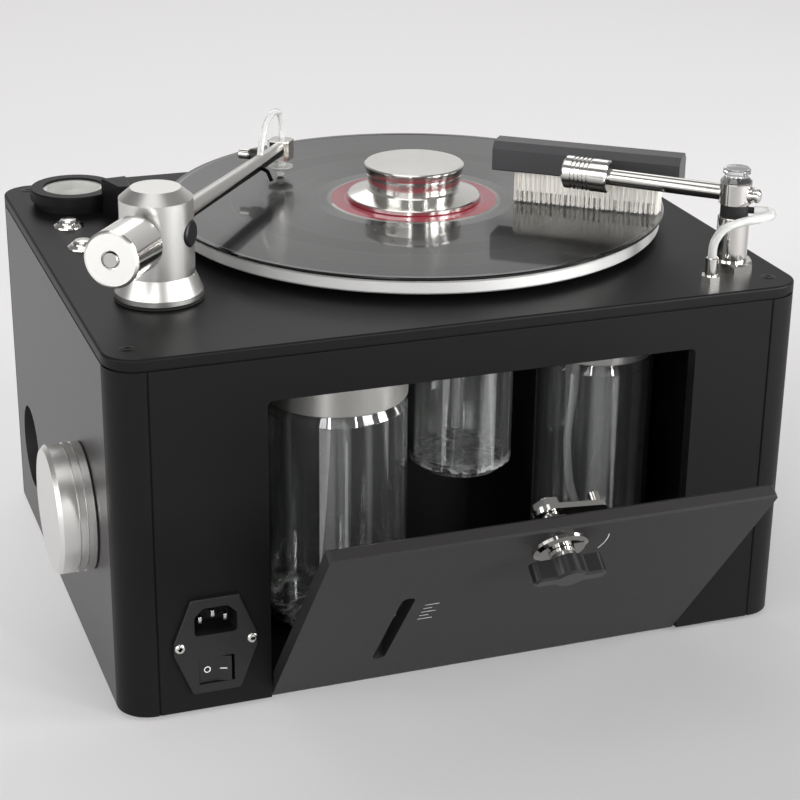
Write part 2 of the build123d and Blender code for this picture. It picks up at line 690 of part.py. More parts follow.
dial_pts = [(0, GAP), (DIAL_R - EDGE, GAP), (DIAL_R, GAP + EDGE)]
for share in DIAL_GROOVES:
    g = DIAL_L * share
    dial_pts += [(DIAL_R, g), (DIAL_R - DIAL_GROOVE_T, g + GAP),
                 (DIAL_R - DIAL_GROOVE_T, g + DIAL_GROOVE_W - GAP),
                 (DIAL_R, g + DIAL_GROOVE_W)]
dial_pts += [(DIAL_R, DIAL_L - DIAL_BEVEL), (DIAL_R - DIAL_BEVEL, DIAL_L), (0, DIAL_L)]
dial = side_turned(dial_pts)
dial += side_turned([(0, GAP - DIAL_SHAFT_L), (DIAL_SHAFT_R, GAP - DIAL_SHAFT_L), (DIAL_SHAFT_R, GAP),
                     (0, GAP)])
save("regulator_knob", dial)
bore = DIAL_SHAFT_R + RUN
valve = side_turned([(bore, -WALL), (bore, 0), (VALVE_NECK_R, 0), (VALVE_NECK_R, -WALL), (VALVE_R, -WALL),
                     (VALVE_R, -WALL - VALVE_L), (0, -WALL - VALVE_L), (0, -DIAL_SHAFT_L - EDGE),
                     (bore, -DIAL_SHAFT_L - EDGE)])
hose_lug = block(LEFT + WALL + 6, LEFT + WALL + 26, DIAL_Y - 5, DIAL_Y + 5, DIAL_Z - 24, DIAL_Z - 10)
save("regulator_valve", valve + hose_lug)

# ---------------------------------------------------------------- platter group
PLATTER = Pos(PLATTER_X, PLATTER_Y, 0)
SUB_Z = Z_TOP - BEARING_L - 1.0 - SUB_T
bearing_pts = [(AXLE_R + RUN, -BEARING_L), (BEARING_R + 3, -BEARING_L), (BEARING_R + 3, -TOP_T - 5),
               (BEARING_FLANGE_R, -TOP_T - 5), (BEARING_FLANGE_R, -TOP_T), (BEARING_R, -TOP_T),
               (BEARING_R, 2.0),
               (AXLE_R + RUN, 2.0)]
save("platter_bearing", PLATTER * Pos(0, 0, Z_TOP) * turned(bearing_pts))

hollow_r = PLATTER_R - PLATTER_RIM
plat = turned([(AXLE_R, 0), (PLATTER_HUB_R, 0), (PLATTER_HUB_R + 3, PLATTER_RELIEF),
               (hollow_r - 3, PLATTER_RELIEF),
               (hollow_r, 0), (PLATTER_R - 1, 0), (PLATTER_R, 1), (PLATTER_R, PLATTER_T - EDGE),
               (PLATTER_R - EDGE, PLATTER_T), (AXLE_R, PLATTER_T)])
save("platter", PLATTER * Pos(0, 0, PLATTER_Z) * plat)
tip_z = RECORD_TOP + SPINDLE_PIN_H
axle = turned([(0, SUB_Z), (AXLE_R, SUB_Z), (AXLE_R, MAT_Z), (SPINDLE_PIN_R, MAT_Z),
               (SPINDLE_PIN_R, tip_z - 3),
               (1.2, tip_z), (0, tip_z)])
groove_z = SUB_T / 2
pulley = turned([(0, 0), (SUB_R, 0), (SUB_R, groove_z - VEE_HALF), (SUB_R - VEE_D, groove_z),
                 (SUB_R, groove_z + VEE_HALF),
                 (SUB_R, SUB_T), (14, SUB_T), (14, SUB_T - 2), (0, SUB_T - 2)])
save("platter_spindle", PLATTER * (axle + Pos(0, 0, SUB_Z) * pulley))
save("mat", PLATTER * tube_of(HOLE_R, PLATTER_R - MAT_IN, MAT_Z, MAT_Z + MAT_T))

sunk = RECORD_T - 0.3     # grooves lie below the rim and the label
record = turned([(HOLE_R, 0), (RECORD_R - 0.6, 0), (RECORD_R, 0.7), (RECORD_R, 1.1),
                 (RECORD_R - 0.6, RECORD_T),
                 (RECORD_R - BEAD_W, RECORD_T), (RECORD_R - BEAD_W - 1, sunk), (GROOVE_R - 3, sunk),
                 (LABEL_R + 1.5, sunk), (LABEL_R, RECORD_T), (HOLE_R, RECORD_T)])
save("record", PLATTER * Pos(0, 0, RECORD_Z) * record)

# low flange, sloping shoulder, waisted grip and a wider cap above a shallow groove
low = CLAMP_R
cap = CLAMP_TOP_R
roof = CLAMP_H - CLAMP_ROOF
clamp = turned([(HOLE_R, CLAMP_LIFT), (low - 0.6, CLAMP_LIFT), (low, 0.6), (low, 2.6), (low - 0.6, 3.2),
                (cap - 1.2, 6.6),
                (cap - 2.6, 7.8), (cap - 1.6, 15.0), (cap - 2.2, 15.3), (cap - 2.2, 16.4), (cap - 0.9, 16.8),
                (cap, 20.6), (cap, CLAMP_H - 0.7), (cap - 0.7, CLAMP_H), (0, CLAMP_H), (0, roof),
                (HOLE_R, roof)])
save("record_clamp", PLATTER * Pos(0, 0, RECORD_TOP) * clamp)

# ---------------------------------------------------------------- motor and belt
MOTOR_X = PLATTER_X + MOTOR_DX
MOTOR_Y = PLATTER_Y + MOTOR_DY
BELT_Z = SUB_Z + groove_z
MOTOR_Z = BELT_Z - 9.0    # top of the motor
MOTOR = Pos(MOTOR_X, MOTOR_Y, MOTOR_Z)
shaft_bore = MOTOR_SHAFT_R + RUN
shaft_end = -MOTOR_SHAFT_IN - 1.0
motor = turned([(0, -MOTOR_H), (MOTOR_R - 1, -MOTOR_H), (MOTOR_R, 1 - MOTOR_H), (MOTOR_R, -1),
                (MOTOR_R - 1, 0),
                (shaft_bore, 0), (shaft_bore, shaft_end), (0, shaft_end)])
w = HANGER_W / 2
t = HANGER_T
back = MOTOR_R + 2.0
under = Z_UNDER - MOTOR_Z
hanger = block(-w, w, back, back + t, -HANGER_DROP, under)
hanger += block(-w, w, -HANGER_FOOT, back + t, 0, t)
hanger += block(-w, w, back, back + HANGER_FOOT, under - t, under)
hanger -= rod(0, 0, 0, MOTOR_PULLEY_R + 1, t)
save("motor", MOTOR * (motor + hanger))
rotor = turned([(0, -MOTOR_SHAFT_IN), (MOTOR_SHAFT_R, -MOTOR_SHAFT_IN), (MOTOR_SHAFT_R, 4),
                (MOTOR_PULLEY_R, 4),
                (MOTOR_PULLEY_R, 9 - VEE_HALF), (MOTOR_PULLEY_R - VEE_D, 9), (MOTOR_PULLEY_R, 9 + VEE_HALF),
                (MOTOR_PULLEY_R, 4 + MOTOR_PULLEY_T), (0, 4 + MOTOR_PULLEY_T)])
save("motor_pulley", MOTOR * rotor)

# round cord about both pulleys, GAP clear of their grooves
seat_up = (BELT_R + GAP) * math.hypot(VEE_D, VEE_HALF) / VEE_HALF
big = SUB_R - VEE_D + seat_up
small = MOTOR_PULLEY_R - VEE_D + seat_up
span = math.hypot(MOTOR_DX, MOTOR_DY)
aim = math.atan2(MOTOR_DY, MOTOR_DX)
lean = math.asin((big - small) / span)


def on_platter(angle):
    return Vector(PLATTER_X + big * math.cos(angle), PLATTER_Y + big * math.sin(angle), BELT_Z)


def on_motor(angle):
    return Vector(MOTOR_X + small * math.cos(angle), MOTOR_Y + small * math.sin(angle), BELT_Z)


a1 = aim + math.pi / 2 - lean
a2 = aim - math.pi / 2 + lean
loop = Line(on_platter(a1), on_motor(a1))
loop += ThreePointArc(on_motor(a1), on_motor(aim), on_motor(a2))
loop += Line(on_motor(a2), on_platter(a2))
loop += ThreePointArc(on_platter(a2), on_platter(aim + math.pi), on_platter(a1))
cord = Plane(origin=on_platter(a1), z_dir=on_motor(a1) - on_platter(a1)) * Circle(BELT_R)
save("drive_belt", sweep(cord, path=loop))

# ---------------------------------------------------------------- suction arm
# COLUMN stands upright on the top plate; ARM has its origin on the pivot and its X along the sloping tube
COLUMN = frame_at(ARM_X, ARM_Y, Z_TOP, ARM_DEG)
ARM = COLUMN * Pos(0, 0, ARM_UP) * Rot(0, ARM_DROP, 0)
FOOT_OUT = COLUMN_R + COLUMN_FOOT
pin_bore = COLUMN_PIN_R + RUN
bush = turned([(pin_bore, -TOP_T - 15), (BUSH_NECK_R + 3, -TOP_T - 15), (BUSH_NECK_R + 3, -TOP_T - 4),
               (BUSH_NECK_R + 9, -TOP_T - 4), (BUSH_NECK_R + 9, -TOP_T), (BUSH_NECK_R, -TOP_T),
               (BUSH_NECK_R, 0),
               (FOOT_OUT - 0.6, 0), (FOOT_OUT + GAP, GASKET_T / 2), (FOOT_OUT - 0.6, GASKET_T),
               (pin_bore, GASKET_T)])
save("arm_bearing", COLUMN * bush)

low = GASKET_T + GAP
column = turned([(0, -COLUMN_PIN_L), (COLUMN_PIN_R, -COLUMN_PIN_L), (COLUMN_PIN_R, low),
                 (FOOT_OUT - EDGE, low),
                 (FOOT_OUT, low + EDGE), (FOOT_OUT, COLUMN_FOOT_H), (COLUMN_R, COLUMN_CONE_H),
                 (COLUMN_R, COLUMN_SHOULDER), (COLUMN_TOP_R, COLUMN_H), (0, COLUMN_H)])
column -= bar(0, 0, ARM_UP, ARM_BORE_R, 2 * FOOT_OUT, ALONG_X)
column -= bar(0, 0, ARM_UP, PIVOT_R, 2 * FOOT_OUT, ALONG_Y)
cap_in = COLUMN_R - CAP_SINK
cap_out = COLUMN_R + CAP_OUT
seats = bar(0, 0, ARM_UP, CAP_R, 2 * FOOT_OUT, ALONG_Y) - bar(0, 0, ARM_UP, CAP_R, 2 * cap_in, ALONG_Y)
save("arm_column", COLUMN * (column - seats))
pivot = turned([(0, -cap_out), (CAP_R - 1, -cap_out), (CAP_R, EDGE - cap_out), (CAP_R, -cap_in),
                (PIVOT_R, -cap_in),
                (PIVOT_R, cap_in), (CAP_R, cap_in), (CAP_R, cap_out - EDGE), (CAP_R - 1, cap_out),
                (0, cap_out)])
save("arm_pivot", COLUMN * Pos(0, 0, ARM_UP) * ALONG_Y * pivot)

# tapered tube, with a shank through the counterweight and a bead that holds it
w0 = -COLUMN_R - WEIGHT_CLEAR
w1 = w0 - WEIGHT_L
head_s = ARM_L - HEAD_A / 2
tube = along([(0, w1 - 0.4), (REAR_R - 0.2, w1 - 0.4), (REAR_R + 0.5, w1 + 0.3), (REAR_R + 0.5, w1 + 2),
              (REAR_R, w1 + 2),
              (REAR_R, w0), (TUBE_R0, 7 + w0), (TUBE_R0, 24), (TUBE_R1, head_s), (0, head_s)])
tube -= bar(0, 0, 0, PIVOT_R + RUN, 30, ALONG_Y)
thumb_s = ARM_L - THUMB_BACK
THUMB = Pos(thumb_s, 0, 0) * Rot(-90, 0, 0)
tube -= THUMB * rod(0, 0, 0, STEM_R - GAP + RUN, 12)
foot_s = ARM_L - LOOP_FOOT
end_s = ARM_L + LOOP_PAST
loop_pts = [(foot_s, 0, 2.6), (foot_s + 4, 0, LOOP_UP / 2), (foot_s + 11.5, 0, LOOP_UP - 4.2),
            (foot_s + 23, 0, LOOP_UP),
            (end_s - 4, 0, LOOP_UP - 1.8), (end_s + 1.2, 0, LOOP_UP - 11.6), (end_s, 0, HEAD_H / 2 - 3)]
loop_tube = hose(loop_pts, LOOP_R)
hook_s = ARM_L - HOOK_BACK
hook_path = FilletPolyline((hook_s, -2, -0.5), (hook_s, -8, -3), (hook_s - 1, -11, -8.5), radius=3.0)
hook = sweep(Plane(origin=(hook_s, -2, -0.5), z_dir=(0, -6, -2.5)) * Circle(HOOK_R), path=hook_path)
save("arm_tube", ARM * (tube + hook - loop_tube))
save("arm_loop_tube", ARM * loop_tube)
weight = along([(REAR_R, w0), (WEIGHT_R - 1.5, w0), (WEIGHT_R, w0 - 1.5), (WEIGHT_R, w1 + 1.5),
                (WEIGHT_R - 1.5, w1),
                (REAR_R + 1.2, w1), (REAR_R + 1.2, w1 + 2), (REAR_R, w1 + 2)])
save("counterweight", ARM * weight)
head = Pos(ARM_L, 0, 0) * Box(HEAD_A, HEAD_A, HEAD_H)
head = chamfer(head.edges().filter_by(Axis.Z), HEAD_BEVEL)
head = fillet(head.edges().group_by(Axis.Z)[-1], EDGE)
save("arm_head", ARM * (head - loop_tube))

# nozzle square to the arm, its tip GAP above the record
drop = math.radians(ARM_DROP)
head_z = Z_TOP + ARM_UP - ARM_L * math.sin(drop)
tip_r = NOZZLE_R - FINE
tip = (RECORD_TOP + GAP - head_z + tip_r * math.sin(drop)) / math.cos(drop)
disc = (Z_TOP + DISC_UP - head_z) / math.cos(drop)
nozzle = turned([(0, tip), (tip_r, tip), (NOZZLE_R, tip + EDGE), (NOZZLE_R, tip + NOZZLE_TIP_H),
                 (STEM_R, tip + NOZZLE_TIP_H + EDGE),
                 (STEM_R, disc), (DISC_R - 2.6, disc), (DISC_R, disc + DISC_T - 0.9), (DISC_R, disc + DISC_T),
                 (STEM_TOP_R, disc + DISC_T), (STEM_TOP_R, -HEAD_H / 2), (0, -HEAD_H / 2)])
save("nozzle", ARM * Pos(ARM_L, 0, 0) * nozzle)
screw_r = STEM_R - GAP
screw = turned([(0, 2.5), (screw_r, 2.5), (screw_r, 5), (THUMB_R - 0.4, 5), (THUMB_R, 5.4), (THUMB_R, 11.6),
                (THUMB_R - 0.4, 12), (0, 12)])
save("arm_thumb_screw", ARM * THUMB * screw)

# ---------------------------------------------------------------- brush and its post
BRUSH_POST = Pos(POST_X, POST_Y, Z_TOP)
BRUSH = frame_at(POST_X, POST_Y, Z_TOP, BRUSH_DEG)
nut = slab(hexagon(HEX_AF, HEX_TURN), 0, HEX_T)
nut &= Cone(HEX_AF * 0.66, HEX_AF * 0.52, HEX_T, align=UP)
collet_r = SOCKET_R + 1.0
union_z = BRUSH_POST_H + UNION_H
well = BRUSH_POST_H - SWIVEL_PIN_L - 1.0
post = turned([(0, -TOP_T - 14), (SOCKET_R, -TOP_T - 14), (SOCKET_R, -TOP_T - 6), (9, -TOP_T - 6),
               (9, -TOP_T), (SOCKET_R, -TOP_T),
               (SOCKET_R, 0), (BRUSH_POST_R, 0), (BRUSH_POST_R, BRUSH_POST_H - FINE),
               (BRUSH_POST_R - FINE, BRUSH_POST_H),
               (collet_r, BRUSH_POST_H), (collet_r, union_z), (SOCKET_R, union_z), (SOCKET_R, well),
               (0, well)])
save("brush_post", BRUSH_POST * (post + (nut - rod(0, 0, 0, BRUSH_POST_R - FINE, HEX_T))))
hose_z = BRUSH_POST_H + UNION_H / 2
UNION_OUT = Rot(0, 0, UNION_SPIGOT_DEG)
spigot = along([(0, UNION_R - 1.4), (1.9, UNION_R - 1.4), (1.9, UNION_SPIGOT_S), (0, UNION_SPIGOT_S)])
union = tube_of(collet_r, UNION_R, BRUSH_POST_H, union_z) + UNION_OUT * Pos(0, 0, hose_z) * spigot
save("hose_union", BRUSH_POST * union)

low = union_z + GAP
high = low + SWIVEL_H
axis_up = (low + high) / 2 - BRUSH_DROP
swivel = turned([(0, BRUSH_POST_H - SWIVEL_PIN_L), (SOCKET_R - RUN, BRUSH_POST_H - SWIVEL_PIN_L),
                 (SOCKET_R - RUN, low),
                 (SWIVEL_R - FINE, low), (SWIVEL_R, low + FINE), (SWIVEL_R, high - FINE),
                 (SWIVEL_R - FINE, high), (0, high)])
swivel -= bar(0, 0, axis_up, BRUSH_TUBE_R + RUN, 3 * SWIVEL_R, ALONG_X)
save("brush_swivel", BRUSH * swivel)
cap = SWIVEL_CAP_R
top = high + SWIVEL_CAP_H
save("swivel_cap", BRUSH * turned([(0, high), (cap + 1.2, high), (cap + 1.2, high + 0.8),
                                   (cap - 0.8, high + 2.8),
                                   (cap - 1, high + 4.2), (cap, high + 5.2), (cap, top - EDGE),
                                   (cap - EDGE, top), (0, top)]))

ROD = BRUSH * Pos(0, 0, axis_up)
c0 = COLLAR_S - COLLAR_L / 2
c1 = c0 + COLLAR_L
tail = -TAIL_L + TAIL_CAP_T
stem = along([(0, -TAIL_L), (TAIL_CAP_R - 1.2, -TAIL_L), (TAIL_CAP_R, 1 - TAIL_L), (TAIL_CAP_R, tail),
              (TAIL_R, tail + 0.4),
              (TAIL_R, -SWIVEL_R - 1), (BRUSH_TUBE_R, -SWIVEL_R - 1), (BRUSH_TUBE_R, c0), (0, c0)])
save("brush_arm", ROD * stem)
collar_pts = [(0, c0), (COLLAR_R - 1, c0), (COLLAR_R, c0 + 1)]
for i in range(COLLAR_RINGS):
    s = c0 + COLLAR_RING_S + COLLAR_PITCH * i
    collar_pts += [(COLLAR_R, s), (COLLAR_R - COLLAR_RING_T, s + 0.2), (COLLAR_R - COLLAR_RING_T, s + 1),
                   (COLLAR_R, s + 1.2)]
collar_pts += [(COLLAR_R, c1 - 1), (COLLAR_R - 1, c1), (0, c1)]

BODY = Pos(COLLAR_S + BRUSH_ALONG, -BRUSH_OFF, BRUSH_UP - axis_up) * Rot(0, 0, BRUSH_BODY_DEG - BRUSH_DEG)
section = Pos(0, BRUSH_H / 2) * Rectangle(BRUSH_D, BRUSH_H)
body = extrude(Plane.YZ * section, amount=BRUSH_L / 2, both=True)
body = chamfer(body.edges().filter_by(Axis.X).group_by(Axis.Z)[-1], BRUSH_BEVEL)
body = fillet(body.edges().filter_by(Axis.X).group_by(Axis.Z)[0], 1.0)


def bristle_block(z0, z1):
    return block(-BRISTLE_L / 2, BRISTLE_L / 2, -BRISTLE_T / 2, BRISTLE_T / 2, z0, z1)


body -= bristle_block(-1, BRISTLE_IN)
stub = Pos(COLLAR_S, 0, 0) * ALONG_Y * Cylinder(STUB_R, BRUSH_OFF - BRUSH_D / 2 + 1.5, align=UP)
save("brush_collar", ROD * (along(collar_pts) + (stub - BODY * body)))
save("brush_body", ROD * BODY * body)
save("bristles", ROD * BODY * bristle_block(RECORD_TOP + GAP - Z_TOP - BRUSH_UP, BRISTLE_IN))

# ---------------------------------------------------------------- hose barb and feed hose
barb = slab(hexagon(BARB_AF), 0, BARB_HEX_T)
barb += turned([(0, -TOP_T - 8), (BARB_PIN_R, -TOP_T - 8), (BARB_PIN_R, 0), (BARB_R, 0),
                (BARB_R, BARB_H - FINE),
                (BARB_R - FINE, BARB_H), (0, BARB_H)])
save("hose_barb", Pos(BARB_X, BARB_Y, Z_TOP) * barb)
out = Vector(1, 0, 0).rotate(Axis.Z, UNION_SPIGOT_DEG)
end = Vector(POST_X, POST_Y, Z_TOP + hose_z) + out * UNION_SPIGOT_S
near = end + out * 9
foot = Vector(BARB_X, BARB_Y, Z_TOP)
level = hose_z
feed = [foot + Vector(0, 0, BARB_H), foot + Vector(0, 0, BARB_H + 8), foot + Vector(5.5, 0, BARB_H + 16),
        foot + Vector(15.5, -1, level - 1.4), foot + Vector(26.5, -2.4, level), near + Vector(-3.1, -9.3, 0),
        near, end]
save("feed_hose", hose([(p.X, p.Y, p.Z) for p in feed], FEED_R))

# ---------------------------------------------------------------- nozzle pot and buttons
POT = Pos(POT_X, POT_Y, Z_TOP)
foot_r = POT_R - POT_STEP
ring = turned([(POT_HOLE_R, 0), (foot_r, 0), (foot_r, POT_FOOT_H), (POT_R, POT_FOOT_H), (POT_R, POT_H - EDGE),
               (POT_R - EDGE, POT_H), (POT_HOLE_R, POT_H)])
q = POT_HOLE_R
rim = POT_H - 1.4
dish = turned([(0, 0), (q - 6, 0), (q - 1, 3), (q - 1, rim - 1), (q, rim - 1), (q, rim), (q - 2.2, rim),
               (q - 2.2, 4),
               (q - 7, 1.4), (0, 1)])
save("pot_dish", POT * dish)
# upright block in front of the ring, cast in one with it
wedge = Polygon((13.0, -21.0), (19.2, -42.0), (27.0, -43.7), (29.5, -19.0), align=None)
wedge = slab(fillet(wedge.vertices(), 1.2), 0, BLOCK_H)
wedge = chamfer(wedge.edges().group_by(Axis.Z)[-1], EDGE)
save("nozzle_pot", POT * (ring + (wedge - rod(0, 0, 0, POT_HOLE_R, BLOCK_H))))

bezels = Part()
button_bore = BUTTON_R + RUN
well = -TOP_T - 8
for name, y in zip(("rear", "front"), BUTTON_YS):
    at = Pos(BUTTON_X, y, Z_TOP)
    bezel = turned([(0, well - 14), (SWITCH_R, well - 14), (SWITCH_R, 0), (BEZEL_R, 0), (BEZEL_R - GAP, 0.9),
                    (BEZEL_R - 2.2, BEZEL_T), (button_bore, BEZEL_T), (button_bore, well), (0, well)])
    bezels += at * bezel
    low = well + BUTTON_TRAVEL + GAP
    high = BEZEL_T + BUTTON_UP
    button = turned([(0, low), (BUTTON_R, low), (BUTTON_R, high), (BUTTON_R - 1, high + 1), (0, high + 1.2)])
    save("push_button_" + name, at * button)
save("button_bezels", bezels)

# ---------------------------------------------------------------- machinery behind the compartment
PUMP_X = LEFT + PUMP_LEFT
PUMP_Y = BACK - PUMP_BACK
pump = fillet(rod(PUMP_X, PUMP_Y, Z_BASE, PUMP_R, PUMP_H).edges().group_by(Axis.Z)[-1], PUMP_EDGE)
pump += rod(PUMP_X, PUMP_Y, Z_BASE + PUMP_H, PUMP_SPIGOT_R, PUMP_SPIGOT_H)
pump += block(PUMP_X - PUMP_R, PUMP_X + PUMP_R, PUMP_Y - PUMP_R, PUMP_Y + PUMP_R, Z_BASE,
              Z_BASE + PUMP_FOOT_T)
# exhaust silencer: an open can behind the port in the left side, joined to the pump by a duct
CAN = Pos(LEFT + WALL, PORT_Y, PORT_Z) * ALONG_X
can_r = PORT_R + CAN_WALL
can = turned([(PORT_R, 0), (can_r, 0), (can_r, PORT_L), (0, PORT_L), (0, PORT_L - CAN_WALL),
              (PORT_R, PORT_L - CAN_WALL)])
duct_y = PORT_Y - DUCT_OFF
duct = block(LEFT + WALL + PORT_L - 1, PUMP_X - 15, duct_y - DUCT_W / 2, duct_y + DUCT_W / 2,
             PORT_Z - DUCT_H / 2,
             PORT_Z + DUCT_H / 2)
save("vacuum_pump", pump + CAN * can + duct)

liquid_y = BACK - LIQUID_BACK
liquid = rod(LIQUID_X, liquid_y, Z_BASE, LIQUID_R, LIQUID_H)
w = LIQUID_FOOT_W / 2
liquid += block(LIQUID_X - w, LIQUID_X + w, liquid_y - w, liquid_y + w, Z_BASE, Z_BASE + LIQUID_FOOT_H)
save("liquid_pump", liquid)

supply_x = SUPPLY_X - SUPPLY_W / 2
supply_y = BAY_Y1 + SUPPLY_BEHIND
supply = block(supply_x, supply_x + SUPPLY_W, supply_y, supply_y + SUPPLY_D, Z_BASE, Z_BASE + SUPPLY_H)
for i in range(FINS):
    x = supply_x + 5 + FIN_PITCH * i
    supply -= block(x, x + FIN_GAP, supply_y, supply_y + FIN_D, Z_BASE + FIN_END, Z_BASE + FIN_END + FIN_L)
save("power_supply", supply)

from_lid = Vector(WASTE_X, WASTE_Y, WASTE_LID_Z + WASTE_LID_T + SPIGOT_H)
into_pump = Vector(PUMP_X, PUMP_Y, Z_BASE + PUMP_H + PUMP_SPIGOT_H)
vacuum = [from_lid, from_lid + Vector(0, 0, 10), (VAC_X, WASTE_Y + 20, VAC_Z), (VAC_X, BAY_Y1 + 22, VAC_Z),
          (VAC_X - 17, BAY_Y1 + 56, VAC_Z - 15), (PUMP_X + 9, PUMP_Y - 10, VAC_Z - 35),
          into_pump + Vector(0, 0, 42), into_pump]
save("vacuum_hose", hose([tuple(Vector(p)) for p in vacuum], VAC_R))

# ---------------------------------------------------------------- door and latch
# drawn upright in its own plane, then opened about the hinge axis
HINGE = Axis((0, HINGE_Y, HINGE_Z), (1, 0, 0))


def opened(shape):
    return shape.rotate(HINGE, DOOR_OPEN)


d0 = HINGE_Z - DOOR_T / 2
door = block(DOOR_X0, DOOR_X1, FRONT, FRONT + DOOR_T, d0, OPEN_TOP - DOOR_HEAD)
door = chamfer(door.edges().filter_by(Axis.Y).group_by(Axis.Z)[-1], DOOR_BEVEL)
door = chamfer(door.edges().filter_by(Axis.X).group_by(Axis.Z)[-1], DOOR_BEVEL - GAP)
slot_up = d0 + (SLOT_LOW + SLOT_HIGH) / 2
slot_plane = Plane(origin=(DOOR_MID + SLOT_X, FRONT, slot_up), x_dir=(0, 0, 1), z_dir=(0, 1, 0))
door -= extrude(slot_plane * SlotOverall(SLOT_HIGH - SLOT_LOW, SLOT_W), amount=DOOR_T)
LATCH = Pos(DOOR_MID + LATCH_X, FRONT, d0 + LATCH_UP) * ALONG_Y
door -= LATCH * Cylinder(LATCH_BORE_R, 3 * DOOR_T)
for x, s in ((DOOR_X0, 1), (DOOR_X1, -1)):
    door -= bar(x + s * (HINGE_IN / 2 - 1), HINGE_Y, HINGE_Z, HINGE_R + RUN, HINGE_IN + 2, ALONG_X)
save("door", opened(door))
hinge_pins = Part()
for x, s in ((OPEN_X0, -1), (OPEN_X1, 1)):
    inner = x - s * (DOOR_SIDE + HINGE_IN - 1)
    outer = x + s * HINGE_OUT
    hinge_pins += bar((inner + outer) / 2, HINGE_Y, HINGE_Z, HINGE_R, abs(outer - inner), ALONG_X)
save("hinge_pins", hinge_pins)


def latch_disc(face, y0, y1):
    # flat face in the door's plane, from y0 to y1 in front of the door
    return LATCH * slab(face, y0, y1)


shaft_bore = SPINDLE_R + RUN
bush_end = -DOOR_T - BUSH_OUT
rosette = turned([(shaft_bore, bush_end), (LATCH_BORE_R, bush_end), (LATCH_BORE_R, 0), (ROSETTE_R, 0),
                  (ROSETTE_R - 0.4, 1.6),
                  (ROSETTE_R - 2.6, ROSETTE_T), (shaft_bore, ROSETTE_T)])
nut_face = hexagon(BUSH_NUT_AF) - Circle(LATCH_BORE_R - FINE)
save("latch_rosette", opened(LATCH * rosette + latch_disc(nut_face, -DOOR_T - BUSH_NUT_T, -DOOR_T)))

neck = ROSETTE_T + GAP
grip = neck + NECK_T
spindle_end = grip + WING_D - SPINDLE_END
wings = SlotOverall(WING_W, WING_T) + Circle(WING_HUB_R)
wings = fillet([v for v in wings.vertices() if abs(v.X) < WING_HUB_R], WING_FILLET)
handle = slab(wings, grip, grip + WING_D)
handle = chamfer(handle.edges().group_by(Axis.Z)[-1], WING_EDGE)
handle -= rod(0, 0, grip, SPINDLE_R, spindle_end - grip)
save("latch_handle", opened(LATCH * handle))

lever_y = bush_end - GAP
tail = lever_y - LEVER_T - LEVER_PIN_L
spindle = turned([(0, tail), (SPINDLE_R, tail), (SPINDLE_R, neck), (NECK_R, neck), (NECK_R, grip),
                  (SPINDLE_R, grip),
                  (SPINDLE_R, spindle_end), (0, spindle_end)])
lever_tip = Pos(LEVER_L - LEVER_TIP_R, 0)
lever = latch_disc(make_hull((Circle(LEVER_HUB_R) + lever_tip * Circle(LEVER_TIP_R)).edges()),
                   lever_y - LEVER_T, lever_y)
lever += latch_disc(lever_tip * Circle(LEVER_PIN_R), tail, lever_y)
lever += latch_disc(hexagon(END_NUT_AF), lever_y - LEVER_T - END_NUT_T, lever_y - LEVER_T)
save("latch_lever", opened(LATCH * spindle + lever))
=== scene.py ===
import math
import random

import bmesh
import bpy
from mathutils import Matrix, Vector


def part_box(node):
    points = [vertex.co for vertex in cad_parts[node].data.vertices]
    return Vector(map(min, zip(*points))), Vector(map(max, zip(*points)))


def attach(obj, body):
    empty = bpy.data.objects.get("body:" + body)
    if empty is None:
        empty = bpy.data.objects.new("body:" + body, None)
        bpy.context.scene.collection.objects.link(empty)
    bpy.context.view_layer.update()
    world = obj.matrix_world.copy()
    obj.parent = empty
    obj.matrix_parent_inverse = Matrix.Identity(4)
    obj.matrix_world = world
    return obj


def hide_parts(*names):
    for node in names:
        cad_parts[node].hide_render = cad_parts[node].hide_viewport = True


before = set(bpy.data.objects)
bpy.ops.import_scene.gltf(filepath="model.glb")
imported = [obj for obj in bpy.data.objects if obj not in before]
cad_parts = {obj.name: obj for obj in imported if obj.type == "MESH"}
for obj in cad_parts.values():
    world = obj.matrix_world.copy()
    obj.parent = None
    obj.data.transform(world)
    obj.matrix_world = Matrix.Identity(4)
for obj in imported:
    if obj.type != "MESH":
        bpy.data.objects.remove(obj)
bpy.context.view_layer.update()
scene = bpy.context.scene

# ---- Camera: a three-quarter view from the front left, a little above the case.
# Its place is in metres and its turns are in radians.
PIXELS, FOCAL, SENSOR = 800, 2017.08, 36
EYE = Vector((-0.37972, -1.08916, 0.57710))
yaw, pitch, roll = 0.3485, 0.3917, 0.0121
ahead = Vector((math.sin(yaw) * math.cos(pitch), math.cos(yaw) * math.cos(pitch), -math.sin(pitch)))
right = Vector((math.cos(yaw), -math.sin(yaw), 0))
up = right.cross(ahead)
side = math.cos(roll) * right + math.sin(roll) * up
top = math.cos(roll) * up - math.sin(roll) * right
camera = bpy.data.objects.new("camera", bpy.data.cameras.new("camera"))
camera.matrix_world = Matrix((
    (side.x, top.x, -ahead.x, EYE.x),
    (side.y, top.y, -ahead.y, EYE.y),
    (side.z, top.z, -ahead.z, EYE.z),
    (0, 0, 0, 1)))
camera.data.sensor_width = SENSOR
camera.data.lens = FOCAL / PIXELS * SENSOR
scene.collection.objects.link(camera)
scene.camera = camera
scene.view_settings.view_transform = "Standard"


# ---- Studio floor: matt pale paper on the ground, laid flat under the feet.
# Its glow is painted light: faint, and stronger towards the back left and far away, as on a lit sweep.
def lin(code):
    # "#rrggbb" as a linear colour
    out = []
    for i in (1, 3, 5):
        c = int(code[i:i + 2], 16) / 255
        out.append(c / 12.92 if c <= 0.04045 else ((c + 0.055) / 1.055) ** 2.4)
    return out + [1.0]


